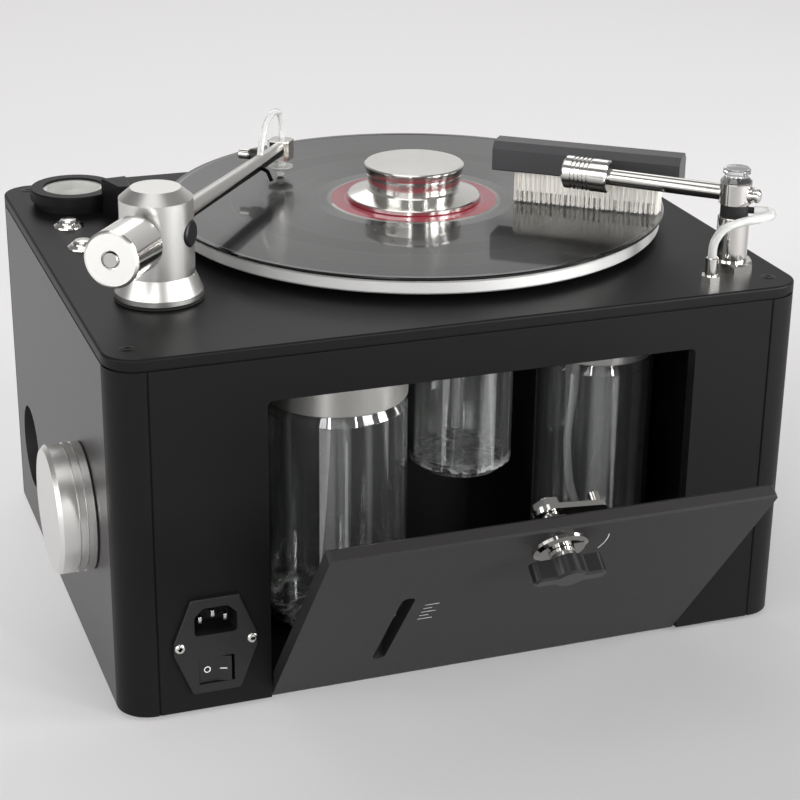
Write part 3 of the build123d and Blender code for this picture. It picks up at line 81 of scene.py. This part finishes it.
def add(tree, kind, inputs=(), **settings):
    # one shader node: settings are its properties, inputs are (socket, constant or linked socket)
    node = tree.nodes.new(kind)
    for key, value in settings.items():
        setattr(node, key, value)
    for key, value in inputs:
        if isinstance(value, bpy.types.NodeSocket):
            tree.links.new(value, node.inputs[key])
        else:
            node.inputs[key].default_value = value
    return node


def material(name, color, rough, metal=0.0, **more):
    # a named finish with a Principled shader; more holds further sockets of that shader
    mat = bpy.data.materials.new(name)
    mat.use_nodes = True
    tree = mat.node_tree
    shader = tree.nodes["Principled BSDF"]
    shader.inputs["Base Color"].default_value = lin(color)
    shader.inputs["Roughness"].default_value = rough
    shader.inputs["Metallic"].default_value = metal
    for key, value in more.items():
        shader.inputs[key.replace("_", " ")].default_value = value
    return mat, tree, shader


FLOOR_HALF = 9
mesh = bmesh.new()
bmesh.ops.create_grid(mesh, x_segments=1, y_segments=1, size=FLOOR_HALF)
floor_data = bpy.data.meshes.new("floor")
mesh.to_mesh(floor_data)
mesh.free()
floor = bpy.data.objects.new("floor", floor_data)
scene.collection.objects.link(floor)
paper, tree, shader = material("studio_paper", "#b4b3b4", 0.9, Specular_IOR_Level=0.1)
shader.inputs["Emission Color"].default_value = (1, 0.985, 0.99, 1)
where = add(tree, "ShaderNodeTexCoord")
BACK_LEFT = (-0.45, 1, 0)
back = add(tree, "ShaderNodeVectorMath", [(0, where.outputs["Object"]), (1, BACK_LEFT)],
           operation="DOT_PRODUCT")
deep = add(tree, "ShaderNodeMapRange", [
    ("Value", back.outputs["Value"]), ("From Min", -0.5), ("From Max", 0.35),
    ("To Min", 0.0), ("To Max", 0.47)], interpolation_type="SMOOTHSTEP")
away = add(tree, "ShaderNodeVectorMath", [(0, where.outputs["Object"])], operation="LENGTH")
far = add(tree, "ShaderNodeMapRange", [
    ("Value", away.outputs["Value"]), ("From Min", 1.2), ("From Max", 2.8),
    ("To Min", 0.0), ("To Max", 0.7)], interpolation_type="SMOOTHSTEP")
# painted light: the paper glows by whichever is larger, its back-left side or its distance
more = add(tree, "ShaderNodeMath", [(0, deep.outputs[0]), (1, far.outputs[0])], operation="MAXIMUM")
tree.links.new(more.outputs[0], shader.inputs["Emission Strength"])
floor_data.materials.append(paper)

# ---- Studio room and lamps: grey soft surroundings, lighter behind the object on the right,
# and rectangular soft boxes and strips that stand round it and give the metal its bands.
world = bpy.data.worlds.new("studio")
scene.world = world
world.use_nodes = True
tree = world.node_tree
BRIGHT_SIDE = (0.342, 0.940, 0.10)
aim = add(tree, "ShaderNodeTexCoord")
toward = add(tree, "ShaderNodeVectorMath", [(0, aim.outputs["Generated"]), (1, BRIGHT_SIDE)],
             operation="DOT_PRODUCT")
glow = add(tree, "ShaderNodeMapRange", [
    ("Value", toward.outputs["Value"]), ("From Min", 0.55), ("From Max", 0.95),
    ("To Min", 0.24), ("To Max", 0.68)], interpolation_type="SMOOTHSTEP")
# seen straight, the room is a pale backdrop
path = add(tree, "ShaderNodeLightPath")
shown = add(tree, "ShaderNodeMapRange", [
    ("Value", path.outputs["Is Camera Ray"]), ("To Min", glow.outputs[0]), ("To Max", 0.78)])
tree.links.new(shown.outputs[0], tree.nodes["Background"].inputs["Strength"])
tree.nodes["Background"].inputs["Color"].default_value = (1, 0.99, 0.985, 1)
AIM = Vector((0, 0, 0.15))
for name, place, size, power in (
        ("box_left", (-1.9, -0.5, 0.9), (1.2, 1.5), 15),
        ("box_back", (0.5, 1.9, 1.5), (1.2, 1.0), 5),
        ("box_over", (-0.4, -0.2, 2.1), (1.2, 1.2), 6),
        ("strip_front", (-1.0, -1.9, 0.8), (0.12, 1.5), 11),
        ("strip_middle", (0.55, -2.1, 0.9), (0.09, 1.5), 8),
        ("strip_right", (1.7, -0.9, 0.8), (0.6, 1.3), 26),
        ("box_front_left", (-1.5, -1.5, 0.75), (0.9, 1.0), 6),
        ("box_right_low", (1.0, -1.45, 0.5), (0.5, 0.45), 18)):
    lamp = bpy.data.lights.new(name, "AREA")
    lamp.shape = "RECTANGLE"
    lamp.size, lamp.size_y = size
    lamp.energy = power
    holder = bpy.data.objects.new(name, lamp)
    holder.location = place
    holder.rotation_euler = (AIM - Vector(place)).to_track_quat("-Z", "Y").to_euler()
    scene.collection.objects.link(holder)


# ---- Base plate and feet: an anodised aluminium plate closes the case from below,
# and moulded rubber feet are screwed under it. The same rubber makes the record mat,
# the gasket under the arm, the ring on the brush post and the drive belt.
def grain(tree, shader, scale, low, high, bump, distance=0.0002, detail=6.0, stretch=(1, 1, 1)):
    # noise that varies the roughness between low and high and dents the surface
    where = add(tree, "ShaderNodeTexCoord")
    place = add(tree, "ShaderNodeMapping", [("Vector", where.outputs["Object"]), ("Scale", stretch)])
    noise = add(tree, "ShaderNodeTexNoise", [
        ("Vector", place.outputs[0]), ("Scale", scale), ("Detail", detail)])
    span = add(tree, "ShaderNodeMapRange", [
        ("Value", noise.outputs["Fac"]), ("To Min", low), ("To Max", high)])
    tree.links.new(span.outputs[0], shader.inputs["Roughness"])
    dent = add(tree, "ShaderNodeBump", [
        ("Height", noise.outputs["Fac"]), ("Strength", bump), ("Distance", distance)])
    tree.links.new(dent.outputs[0], shader.inputs["Normal"])
    return dent


def dress(mat, *names):
    # gives CAD nodes their finish
    for name in names:
        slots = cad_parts[name].data.materials
        slots.clear()
        slots.append(mat)


# anodised aluminium: a soft dark sheen
anodised, tree, shader = material("dark_anodised", "#101010", 0.5, 0.6)
grain(tree, shader, 400, 0.42, 0.6, 0.1)
dress(anodised, "base_plate")
# moulded rubber: dull, with a fine tooth
rubber, tree, shader = material("black_rubber", "#0d0d0d", 0.75)
grain(tree, shader, 700, 0.65, 0.85, 0.2)
dress(rubber, "feet", "mat", "arm_bearing", "hose_union", "drive_belt")

# ---- Case: sawn and bevelled aluminium panels between rounded corner posts, under a routed top plate,
# all powder coated black. The coat's grit is drawn about 1 mm across, as coarse as it needs to show.
paint, tree, shader = material("black_powder_coat", "#121112", 0.45, Specular_IOR_Level=0.15)
grain(tree, shader, 900, 0.4, 0.5, 0.12, 0.0001)
dress(paint, "front_panel", "corner_posts", "top_plate", "nozzle_pot")
# the same black coat painted lighter on the door and on the panels at the right and the back: painted light
# for the light these faces catch
lighter_painted_coat, tree, shader = material("black_coat_painted_lighter", "#1b191a", 0.5, Specular_IOR_Level=0.38)
grain(tree, shader, 900, 0.45, 0.56, 0.12, 0.0001)
dress(lighter_painted_coat, "door", "right_panel", "rear_panel")
# the left panel, which carries the knob, is the smoothest, and its coat is painted lighter: a painted sheen
sheen_painted_coat, tree, shader = material("black_coat_painted_sheen", "#2b292a", 0.38, Specular_IOR_Level=0.6)
grain(tree, shader, 900, 0.34, 0.42, 0.12, 0.0001)
dress(sheen_painted_coat, "left_panel")
# moulded lining of the jar compartment: black, so that only the glass shows
lining, tree, shader = material("black_lining", "#070708", 0.45, Specular_IOR_Level=0.3)
grain(tree, shader, 500, 0.4, 0.55, 0.1)
dress(lining, "jar_bay")


# ---- Case screws: blackened steel button heads with a hexagon recess,
# one in each corner of the top plate, sunk in its holes.
def at(x, y, z):
    return Matrix.Translation((x, y, z))


def turn(degrees, axis):
    return Matrix.Rotation(math.radians(degrees), 4, axis)


MM = Matrix.Scale(0.001, 4)
UP = Vector((0, 0, 1))


def lathe(mesh, points, matrix, steps=48):
    # spins a profile of (radius, height) points, in millimetres, about Z and places it
    verts = [mesh.verts.new(MM @ matrix @ Vector((r, 0, z))) for r, z in points]
    edges = [mesh.edges.new(pair) for pair in zip(verts, verts[1:])]
    bmesh.ops.spin(mesh, geom=verts + edges, cent=MM @ matrix @ Vector(), axis=matrix.to_3x3() @ UP,
                   angle=2 * math.pi, steps=steps, use_merge=True, use_duplicate=False)
    bmesh.ops.remove_doubles(mesh, verts=mesh.verts, dist=0.000002)


def piece(name, mesh, mat, body, sharp=35):
    # a finished bmesh becomes an object that rides on a body
    data = bpy.data.meshes.new(name)
    bmesh.ops.recalc_face_normals(mesh, faces=mesh.faces)
    mesh.to_mesh(data)
    mesh.free()
    obj = bpy.data.objects.new(name, data)
    scene.collection.objects.link(obj)
    data.materials.append(mat)
    for face in data.polygons:
        face.use_smooth = True
    data.set_sharp_from_angle(angle=math.radians(sharp))
    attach(obj, body)
    return obj


TOP_Z, SUNK = 208.9, 0.3
blackened, tree, shader = material("blackened_screw", "#101010", 0.35, 0.8)
grain(tree, shader, 1500, 0.3, 0.45, 0.1)
for x, y in ((-184, -144.3), (184, -144.3), (-182.5, 150.7), (182.5, 150.7)):
    spot = at(x, y, TOP_Z - SUNK)
    mesh = bmesh.new()
    lathe(mesh, [(3.0, 0.35), (3.9, 0.5), (4.3, 0.35), (4.4, 0)], spot, 32)
    lathe(mesh, [(0, -1.2), (1.6, -1.2), (1.7, 0.55), (3.0, 0.6), (3.0, 0.35)], spot, 6)
    piece("top_screw", mesh, blackened, "case")


# ---- Inlet and switch: one moulded module with a flange, held by two pan-head screws.
# Its three contact pins are nickel plated, and the rocker carries a printed ring and bar.
def cuboid(mesh, low, high, bevel, matrix):
    # block between two corners, in millimetres, with rounded edges
    size = [b - a for a, b in zip(low, high)]
    mid = [(a + b) / 2 for a, b in zip(low, high)]
    made = bmesh.ops.create_cube(mesh, size=1, matrix=MM @ matrix @ at(*mid) @ Matrix.Diagonal((*size, 1)))
    edges = list({e for v in made["verts"] for e in v.link_edges})
    bmesh.ops.bevel(mesh, geom=edges, offset=0.001 * bevel, segments=2, profile=0.5, affect="EDGES",
                    material=-1)


# moulded thermoplastic: an even, slightly glossy black
moulded, tree, shader = material("moulded_black", "#151516", 0.38, Specular_IOR_Level=0.45)
grain(tree, shader, 1100, 0.32, 0.48, 0.15)
dress(moulded, "inlet_module", "rocker", "arm_thumb_screw")
# nickel plate: bright, a little yellow and not quite sharp
nickel, tree, shader = material("bright_nickel", "#dddcd8", 0.25, 1.0)
grain(tree, shader, 900, 0.18, 0.34, 0.05)
INLET_X, FRONT, FLANGE = -146.7, -162.0, -164.5
OUT = turn(90, "X")
PIN_HALF_W, PIN_HALF_H, PIN_END, PIN_ROOT = 1.08, 2.08, -158.06, -149.0
mesh = bmesh.new()
for x, z in ((-7, 54.5), (0, 57.5), (7, 54.5)):
    cuboid(mesh, (INLET_X + x - PIN_HALF_W, PIN_END, z - PIN_HALF_H),
           (INLET_X + x + PIN_HALF_W, PIN_ROOT, z + PIN_HALF_H), 0.5, Matrix())
piece("inlet_pins", mesh, nickel, "case")
SLOT_HALF, CROSS_END, HEAD_TOP, CROSS_DEPTH = 0.45, 1.3, 1.25, 0.85
SCREW_X, SCREW_Z = 20, 43
for x in (-SCREW_X, SCREW_X):
    spot = at(INLET_X + x, FLANGE, SCREW_Z) @ OUT @ turn(20 + x, "Z")
    mesh = bmesh.new()
    lathe(mesh, [(1.5, HEAD_TOP), (2.2, 1.1), (2.8, 0.7), (3.0, 0.2), (3.0, -0.4)], spot, 12)
    rim = [v for v in mesh.verts if abs(((MM @ spot).inverted() @ v.co).z - HEAD_TOP) < 0.01]
    cross = []
    for quarter in range(4):
        for u, v in ((SLOT_HALF, CROSS_END), (SLOT_HALF, SLOT_HALF), (CROSS_END, SLOT_HALF)):
            cross.append(mesh.verts.new(MM @ spot @ turn(-90 * quarter, "Z") @ Vector((u, v, HEAD_TOP))))
    floor_face = mesh.faces.new(cross)
    ring = [e for e in mesh.edges if e.verts[0] in rim and e.verts[1] in rim]
    bmesh.ops.bridge_loops(mesh, edges=ring + list(floor_face.edges))
    sunk = bmesh.ops.extrude_discrete_faces(mesh, faces=[floor_face])["faces"]
    down = (MM @ spot).to_3x3() @ Vector((0, 0, -CROSS_DEPTH))
    bmesh.ops.translate(mesh, verts=list(sunk[0].verts), vec=down)
    piece("inlet_screw", mesh, nickel, "case")
# pad-printed ink: dull white
ink, tree, shader = material("white_ink", "#d8d8d8", 0.6)
grain(tree, shader, 2000, 0.5, 0.7, 0.05)
# the rocker leans 8 degrees about its upright pin, and its face is a shallow vee
ROCKER = at(INLET_X, FRONT + 3, 0) @ turn(-8, "Z") @ at(-INLET_X, -FRONT - 3, 0)
VEE = math.degrees(math.atan(1.6 / 8.75))
MARK_X, MARK_Y, MARK_Z = 4.4, FLANGE + 0.80, 27
mesh = bmesh.new()
left_half = ROCKER @ at(INLET_X - MARK_X, MARK_Y, MARK_Z) @ turn(VEE, "Z") @ OUT
lathe(mesh, [(1.35, 0), (1.35, 0.06), (1.9, 0.06), (1.9, 0), (1.35, 0)], left_half, 28)
right_half = ROCKER @ at(INLET_X + MARK_X, MARK_Y, MARK_Z) @ turn(-VEE, "Z") @ OUT
cuboid(mesh, (-1.9, -0.3, 0), (1.9, 0.3, 0.06), 0.02, right_half)
piece("switch_marks", mesh, ink, "rocker")


# ---- Regulator knob: a turned aluminium disc on the left side, with fine tool rings on its face.
# It is pushed on the shaft of the valve inside.
def radius_from(tree, centre, mask):
    # distance in metres from an axis through centre; mask is 0 along the axis and 1 across it
    where = add(tree, "ShaderNodeTexCoord")
    away = [-0.001 * c * m for c, m in zip(centre, mask)]
    place = add(tree, "ShaderNodeMapping", [
        ("Vector", where.outputs["Object"]), ("Location", away), ("Scale", mask)])
    return add(tree, "ShaderNodeVectorMath", [(0, place.outputs[0])], operation="LENGTH").outputs["Value"]


def ripple(tree, shader, radius, per_mm, depth, dent):
    # fine turned lines of equal pitch about an axis
    wave = add(tree, "ShaderNodeMath", [(0, radius), (1, 2000 * math.pi * per_mm)], operation="MULTIPLY")
    sine = add(tree, "ShaderNodeMath", [(0, wave.outputs[0])], operation="SINE")
    line = add(tree, "ShaderNodeBump", [
        ("Height", sine.outputs[0]), ("Strength", 1.0), ("Distance", depth)])
    tree.links.new(dent.outputs[0], line.inputs["Normal"])
    tree.links.new(line.outputs[0], shader.inputs["Normal"])


# turned aluminium: bright, with rings drawn at 0.9 mm so that they show
KNOB = (0, -82, 95.5)
dial, tree, shader = material("turned_dial", "#e3e2df", 0.3, 1.0)
dent = grain(tree, shader, 300, 0.27, 0.36, 0.03, 0.00003)
ripple(tree, shader, radius_from(tree, KNOB, (0, 1, 1)), 1.1, 0.000012, dent)
dress(dial, "regulator_knob")


# ---- Jars: pressed glass, hung from turned aluminium lids in the compartment.
# The walls carry faint upright milky streaks, painted highlights standing in for reflected light strips, and
# the thick bottoms are swirled;
# the brush swivel's cap is the same glass.
def press(name, bottom):
    # clear glass with upright milky streaks painted as highlights, and swirls in the 11 mm above its bottom
    glass, tree, shader = material(name, "#f2f4f3", 0.02, IOR=1.5, Coat_Weight=1.0, Coat_IOR=2.0,
                                   Coat_Roughness=0.02)
    dent = grain(tree, shader, 40, 0.01, 0.03, 0.1, 0.0006, 2, stretch=(1, 1, 0.03))
    tree.links.new(dent.outputs[0], shader.inputs["Coat Normal"])
    where = add(tree, "ShaderNodeTexCoord")
    drawn = add(tree, "ShaderNodeMapping", [("Vector", where.outputs["Object"]), ("Scale", (1, 1, 0.02))])
    noise = add(tree, "ShaderNodeTexNoise", [("Vector", drawn.outputs[0]), ("Scale", 95.0), ("Detail", 1.5)])
    # painted highlight: where the stretched noise is high, the glass lets less light through and shows its
    # white
    painted_streak_highlight = add(tree, "ShaderNodeMapRange", [
        ("Value", noise.outputs["Fac"]), ("From Min", 0.54), ("From Max", 0.68),
        ("To Min", 0.972), ("To Max", 0.8)], interpolation_type="SMOOTHSTEP")
    height = add(tree, "ShaderNodeSeparateXYZ", [("Vector", where.outputs["Object"])]).outputs["Z"]
    low = add(tree, "ShaderNodeMapRange", [
        ("Value", height), ("From Min", bottom + 0.004), ("From Max", bottom + 0.011),
        ("To Min", 1.0), ("To Max", 0.0)])
    swirl = add(tree, "ShaderNodeTexNoise", [
        ("Vector", where.outputs["Object"]), ("Scale", 70.0), ("Detail", 2.0), ("Distortion", 2.5)])
    thick = add(tree, "ShaderNodeMapRange", [
        ("Value", swirl.outputs["Fac"]), ("From Min", 0.48), ("From Max", 0.62), ("To Max", 0.45)])
    both = add(tree, "ShaderNodeMath", [(0, low.outputs[0]), (1, thick.outputs[0])], operation="MULTIPLY")
    left = add(tree, "ShaderNodeMath", [(0, painted_streak_highlight.outputs[0]), (1, both.outputs[0])], operation="SUBTRACT")
    tree.links.new(left.outputs[0], shader.inputs["Transmission Weight"])
    return glass


dress(press("pressed_glass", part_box("waste_jar")[0][2]), "waste_jar", "fluid_jar")
dress(press("pressed_trap_glass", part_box("trap_jar")[0][2]), "trap_jar")
dress(press("pressed_cap_glass", 0), "swivel_cap")
# turned aluminium with a lengthwise brushed edge
lid_metal, tree, shader = material("turned_lid", "#dcdbd7", 0.32, 0.8)
grain(tree, shader, 300, 0.28, 0.4, 0.04, 0.00003, stretch=(1, 1, 8))
dress(lid_metal, "jar_lids")

# ---- Hoses: extruded vinyl, pushed on their fittings. They are clear,
# but the pick-up hose in the fluid jar is milky.
clear, tree, shader = material("clear_vinyl", "#f4f5f3", 0.08, Transmission_Weight=0.65, IOR=1.2,
                               Coat_Weight=1.0, Coat_IOR=1.6, Coat_Roughness=0.05)
grain(tree, shader, 200, 0.05, 0.12, 0.05)
dress(clear, "vacuum_hose", "feed_hose", "arm_loop_tube")
milky, tree, shader = material("milky_vinyl", "#f6f7f5", 0.3, Transmission_Weight=0.1, IOR=1.35)
grain(tree, shader, 200, 0.25, 0.38, 0.05)
dress(milky, "fluid_pickup_hose")

# ---- Platter: one turned aluminium disc on a ground steel spindle, which the belt drives
# from the motor's pulley. The hinge pins of the door are the same ground steel.
platter_metal, tree, shader = material("turned_platter", "#dcdcda", 0.45, 0.55)
grain(tree, shader, 500, 0.4, 0.5, 0.04, 0.00003)
dress(platter_metal, "platter")
steel, tree, shader = material("ground_steel", "#bdbcb8", 0.25, 1.0)
grain(tree, shader, 400, 0.2, 0.32, 0.03, 0.00003)
dress(steel, "platter_spindle", "motor_pulley", "hinge_pins")


# ---- Record: pressed black vinyl with bands of groove, a plain run-out ring and a paper label.
# The grooves run round the axis, so the light gathers into a bright wedge across them.
def steps_of(tree, radius, bands):
    # value that changes in steps with the radius: bands are (from radius in mm, value or colour)
    reach = bands[-1][0] * 1.05
    share = add(tree, "ShaderNodeMath", [(0, radius), (1, 1000 / reach)], operation="MULTIPLY")
    ramp = add(tree, "ShaderNodeValToRGB", [("Fac", share.outputs[0])])
    ramp.color_ramp.interpolation = "CONSTANT"
    for i, (r, value) in enumerate(bands):
        spot = ramp.color_ramp.elements[i] if i < 2 else ramp.color_ramp.elements.new(r / reach)
        spot.position = r / reach
        spot.color = value if isinstance(value, list) else (value, value, value, 1)
    return ramp.outputs["Color"]


AXIS = Vector((29, 16, 0))
vinyl, tree, shader = material("record_vinyl", "#0b0b0b", 0.3, Specular_IOR_Level=0.28, Anisotropic=0.9,
                               Coat_Weight=0.8, Coat_IOR=1.45, Coat_Roughness=0.05)
radius = radius_from(tree, AXIS, (1, 1, 0))
red, pale_red, black = lin("#a01a36"), lin("#b05a68"), lin("#070707")
tree.links.new(steps_of(tree, radius, [
    (0, red), (6, lin("#c07078")), (7, red), (24, pale_red), (25, red), (41, pale_red), (42, red),
    (50.1, lin("#6a6560")), (52.5, black), (151, black)]), shader.inputs["Base Color"])
tree.links.new(steps_of(tree, radius, [
    (0, 0.4), (50.1, 0.2), (60.3, 0.36), (72, 0.3), (72.8, 0.35), (90, 0.3), (90.8, 0.37),
    (110, 0.3), (110.8, 0.35), (128.5, 0.3), (129.3, 0.36), (147.5, 0.15)]), shader.inputs["Roughness"])
where = add(tree, "ShaderNodeTexCoord")
spread = add(tree, "ShaderNodeVectorMath", [(0, where.outputs["Object"]), (1, MM @ AXIS)],
             operation="SUBTRACT")
tree.links.new(spread.outputs[0], shader.inputs["Tangent"])
dress(vinyl, "record")

# ---- Record clamp: a turned and polished aluminium weight that drops over the spindle.
# Its rings are finer than the knob's.
polished, tree, shader = material("polished_clamp", "#dcdbd7", 0.16, 1.0)
dent = grain(tree, shader, 200, 0.13, 0.2, 0.02, 0.00002)
ripple(tree, shader, radius_from(tree, AXIS, (1, 1, 0)), 0.9, 0.000004, dent)
dress(polished, "record_clamp")


# ---- Suction arm: a bead-blasted aluminium column and tapered tube on a pivot pin with black caps,
# balanced by a turned weight with a satin face and a polished side, and ending in a nylon nozzle.
# The arm's frame stands at the pivot, with X along the tube.
PIVOT, ARM_DEG, ARM_DROP = Vector((-150.1, -72, TOP_Z + 38)), 53.6, 1.7
ARM = at(*PIVOT) @ turn(ARM_DEG, "Z") @ turn(ARM_DROP, "Y")


def arm_place(tree):
    # distances in metres along the suction arm from its pivot, and out from the arm's own axis
    where = add(tree, "ShaderNodeTexCoord")
    local = add(tree, "ShaderNodeMapping", [
        ("Vector", where.outputs["Object"]), ("Location", MM @ PIVOT),
        ("Rotation", (0, 0, math.radians(ARM_DEG)))], vector_type="TEXTURE")
    along = add(tree, "ShaderNodeSeparateXYZ", [("Vector", local.outputs[0])]).outputs["X"]
    across = add(tree, "ShaderNodeVectorMath", [(0, local.outputs[0]), (1, (0, 1, 1))], operation="MULTIPLY")
    around = add(tree, "ShaderNodeVectorMath", [(0, across.outputs[0])], operation="LENGTH")
    return along, around.outputs["Value"]


# bead-blasted aluminium: a soft sheen, with painted shade inside the bore that the arm passes through
satin, tree, shader = material("blasted_column", "#cfcecb", 0.34, 1.0)
grain(tree, shader, 700, 0.3, 0.38, 0.04, 0.00003, 8)
BORE_R, TUBE_R = 9.05, 5.7
around = arm_place(tree)[1]
# painted shade: dark within the bore's radius about the arm's axis
tree.links.new(steps_of(tree, around, [(0, lin("#1c1b18")), (BORE_R, lin("#cfcecb"))]),
               shader.inputs["Base Color"])
dress(satin, "arm_column")
# the tube is a little darker, and its finger hook is blackened
tube_metal, tree, shader = material("blasted_tube", "#bdbcb9", 0.36, 1.0)
grain(tree, shader, 700, 0.32, 0.4, 0.04, 0.00003, 8)
around = arm_place(tree)[1]
tree.links.new(steps_of(tree, around, [(0, lin("#bdbcb9")), (TUBE_R, lin("#0c0c0c"))]),
               shader.inputs["Base Color"])
dress(tube_metal, "arm_tube")
# chromed steel: satin on the weight's end face, polished on its side, and painted lighter than the other
# chrome: painted light for its brightly lit face
weight_metal, tree, shader = material("chromed_weight", "#f0efec", 0.3, 1.0)
grain(tree, shader, 700, 0.26, 0.36, 0.03, 0.00003, 8)
SATIN_TO, POLISHED_FROM = -0.0595, -0.0585
polish = add(tree, "ShaderNodeMapRange", [
    ("Value", arm_place(tree)[0]), ("From Min", SATIN_TO), ("From Max", POLISHED_FROM),
    ("To Min", 0.42), ("To Max", 0.14)])
tree.links.new(polish.outputs[0], shader.inputs["Roughness"])
dress(weight_metal, "counterweight")
# blackened steel caps: almost matt
caps, tree, shader = material("black_cap", "#151516", 0.4, 0.3)
grain(tree, shader, 800, 0.35, 0.5, 0.1)
dress(caps, "arm_pivot")
# turned nylon: pale and waxy
nylon, tree, shader = material("pale_nylon", "#c9c9c5", 0.4)
grain(tree, shader, 600, 0.35, 0.5, 0.1)
dress(nylon, "nozzle")

# ---- Chromed fittings: turned brass or steel, polished and plated: the arm's head, the brush post
# and its arm, the hose barb, the push buttons and the latch. The thumb screw's bright end
# stands on its black collar, across the tube.
chrome, tree, shader = material("polished_chrome", "#dbd9d5", 0.1, 1.0)
grain(tree, shader, 120, 0.07, 0.14, 0.02, 0.00002)
dress(chrome, "arm_head", "brush_post", "brush_swivel", "hose_barb", "button_bezels", "push_button_rear",
      "push_button_front", "brush_arm", "brush_collar", "latch_lever")
# the rosette under the door's handle is the same chrome painted darker: a painted dark reflection
chrome_painted_dark, tree, shader = material("chrome_painted_dark_reflection", "#8f8d8a", 0.08, 1.0)
grain(tree, shader, 120, 0.06, 0.12, 0.02, 0.00002)
dress(chrome_painted_dark, "latch_rosette")
THUMB_ALONG = 174
mesh = bmesh.new()
lathe(mesh, [(0, 11.5), (2.4, 11.5), (2.4, 12.6), (3.0, 12.9), (3.0, 18.8), (2.7, 19.2), (0.9, 19.2),
             (0.6, 18.9), (0, 18.9)], ARM @ at(THUMB_ALONG, 0, 0) @ turn(-90, "X"), 32)
piece("thumb_screw_end", mesh, chrome, "thumb_screw")
# the dish in the nozzle's parking pot is only satin polished
dish, tree, shader = material("satin_dish", "#dededb", 0.35, 0.5)
grain(tree, shader, 400, 0.3, 0.42, 0.05)
dress(dish, "pot_dish")

# ---- Brush: a dark anodised back with pale goat-hair bristles in five rows of tufts,
# set in a strip that is pressed into the back. Their tips stand on the record.
back_metal, tree, shader = material("brush_anodised", "#3b3b3d", 0.42, 0.1)
grain(tree, shader, 500, 0.36, 0.5, 0.1, stretch=(1, 1, 5))
dress(back_metal, "brush_body")
hair, tree, shader = material("pale_bristle", "#fdfaf3", 0.55, Subsurface_Weight=0.3)
shader.inputs["Subsurface Radius"].default_value = (0.001, 0.001, 0.001)
grain(tree, shader, 900, 0.45, 0.7, 0.1, stretch=(1, 1, 0.1))
# from the brush post, along its arm and out to the middle of the brush
POST = at(171, -123, TOP_Z) @ turn(136.2, "Z")
BRUSH = POST @ at(97.9, -30, 34.5) @ turn(6.1, "Z")
ROOT, TIP, ROWS, TUFTS, STRANDS = 3.5, -19.5, 5, 30, 13
FIELD_L, ROW_PITCH = 86.4, 1.95
STRIP_HALF_L, STRIP_HALF_W, STRIP_END = 43.5, 3.6, -13
pick = random.Random(3)
mesh = bmesh.new()
for row in range(ROWS):
    for column in range(TUFTS):
        x = -FIELD_L / 2 + FIELD_L * column / (TUFTS - 1) + 0.4 * (row % 2)
        y = ROW_PITCH * (row - (ROWS - 1) / 2)
        lean_x, lean_y = pick.uniform(-0.5, 0.5), pick.uniform(-0.3, 0.3)
        for strand in range(STRANDS):
            a, d = pick.uniform(0, 6.28), math.sqrt(pick.uniform(0, 1))
            base = Vector((x + 0.75 * d * math.cos(a), y + 0.6 * d * math.sin(a), ROOT))
            end = Vector((x + lean_x + 1.15 * d * math.cos(a), y + lean_y + 0.8 * d * math.sin(a),
                          TIP + pick.uniform(0, 0.7)))
            run = end - base
            stand = at(*base.lerp(end, 0.5)) @ run.to_track_quat("Z", "Y").to_matrix().to_4x4()
            bmesh.ops.create_cone(mesh, cap_ends=True, segments=3, radius1=0.2, radius2=0.14,
                                  depth=run.length, matrix=MM @ BRUSH @ stand)
cuboid(mesh, (-STRIP_HALF_L, -STRIP_HALF_W, STRIP_END), (STRIP_HALF_L, STRIP_HALF_W, ROOT), 0.5, BRUSH)
tufts = piece("bristle_tufts", mesh, hair, "brush")
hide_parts("bristles")

# ---- Door: a powder coated aluminium flap on two hinge pins, with a window slot and a latch.
# White ticks beside the slot read the level in the jar, and an arc shows the latch's turn.
HINGE_Y, HINGE_Z, OPEN_DEG = -158, 7.1, 38.5
DOOR = at(0, HINGE_Y, HINGE_Z) @ turn(OPEN_DEG, "X") @ at(0, -HINGE_Y, -HINGE_Z)
FACE = DOOR @ at(0, FRONT, 3.1) @ OUT
INK_T, TICK_X, TICK_HALF = 0.05, -48, 0.22
mesh = bmesh.new()
for v, long in ((96, 8), (91.5, 5), (87, 8), (82.5, 5), (78, 8)):
    cuboid(mesh, (TICK_X, v - TICK_HALF, 0), (TICK_X + long, v + TICK_HALF, INK_T), 0.01, FACE)
LATCH = FACE @ at(13, 146.7, 0)
ARC_R0, ARC_R1, ARC_FROM, ARC_SPAN = 26, 26.5, -22, 36
start = [mesh.verts.new(MM @ LATCH @ turn(ARC_FROM, "Z") @ Vector((r, 0, z))) for r, z in
         ((ARC_R0, 0), (ARC_R1, 0), (ARC_R1, INK_T), (ARC_R0, INK_T))]
end_face = mesh.faces.new(start)
bmesh.ops.spin(mesh, geom=[end_face], cent=MM @ LATCH @ Vector(), axis=LATCH.to_3x3() @ UP,
               angle=math.radians(ARC_SPAN), steps=24, use_duplicate=False)
piece("door_marks", mesh, ink, "door")
# moulded black handle: glossier than the door
handle, tree, shader = material("black_handle", "#161617", 0.3, Specular_IOR_Level=0.5)
grain(tree, shader, 800, 0.25, 0.36, 0.08)
dress(handle, "latch_handle")

# ---- Machinery: die-cast and drawn housings of the motor, liquid pump, power supply, valve and platter
# bearing, left as they come, and a vacuum pump painted black. The pumps and the supply stand on the
# base plate, the motor hangs under the top plate and the valve sits behind the knob.
plain, tree, shader = material("cast_metal", "#808080", 0.4, 1.0)
grain(tree, shader, 300, 0.35, 0.5, 0.1)
dress(plain, "motor", "liquid_pump", "power_supply", "regulator_valve", "platter_bearing")
pump_paint, tree, shader = material("pump_black", "#0a0a0a", 0.55)
grain(tree, shader, 300, 0.45, 0.6, 0.1)
dress(pump_paint, "vacuum_pump")
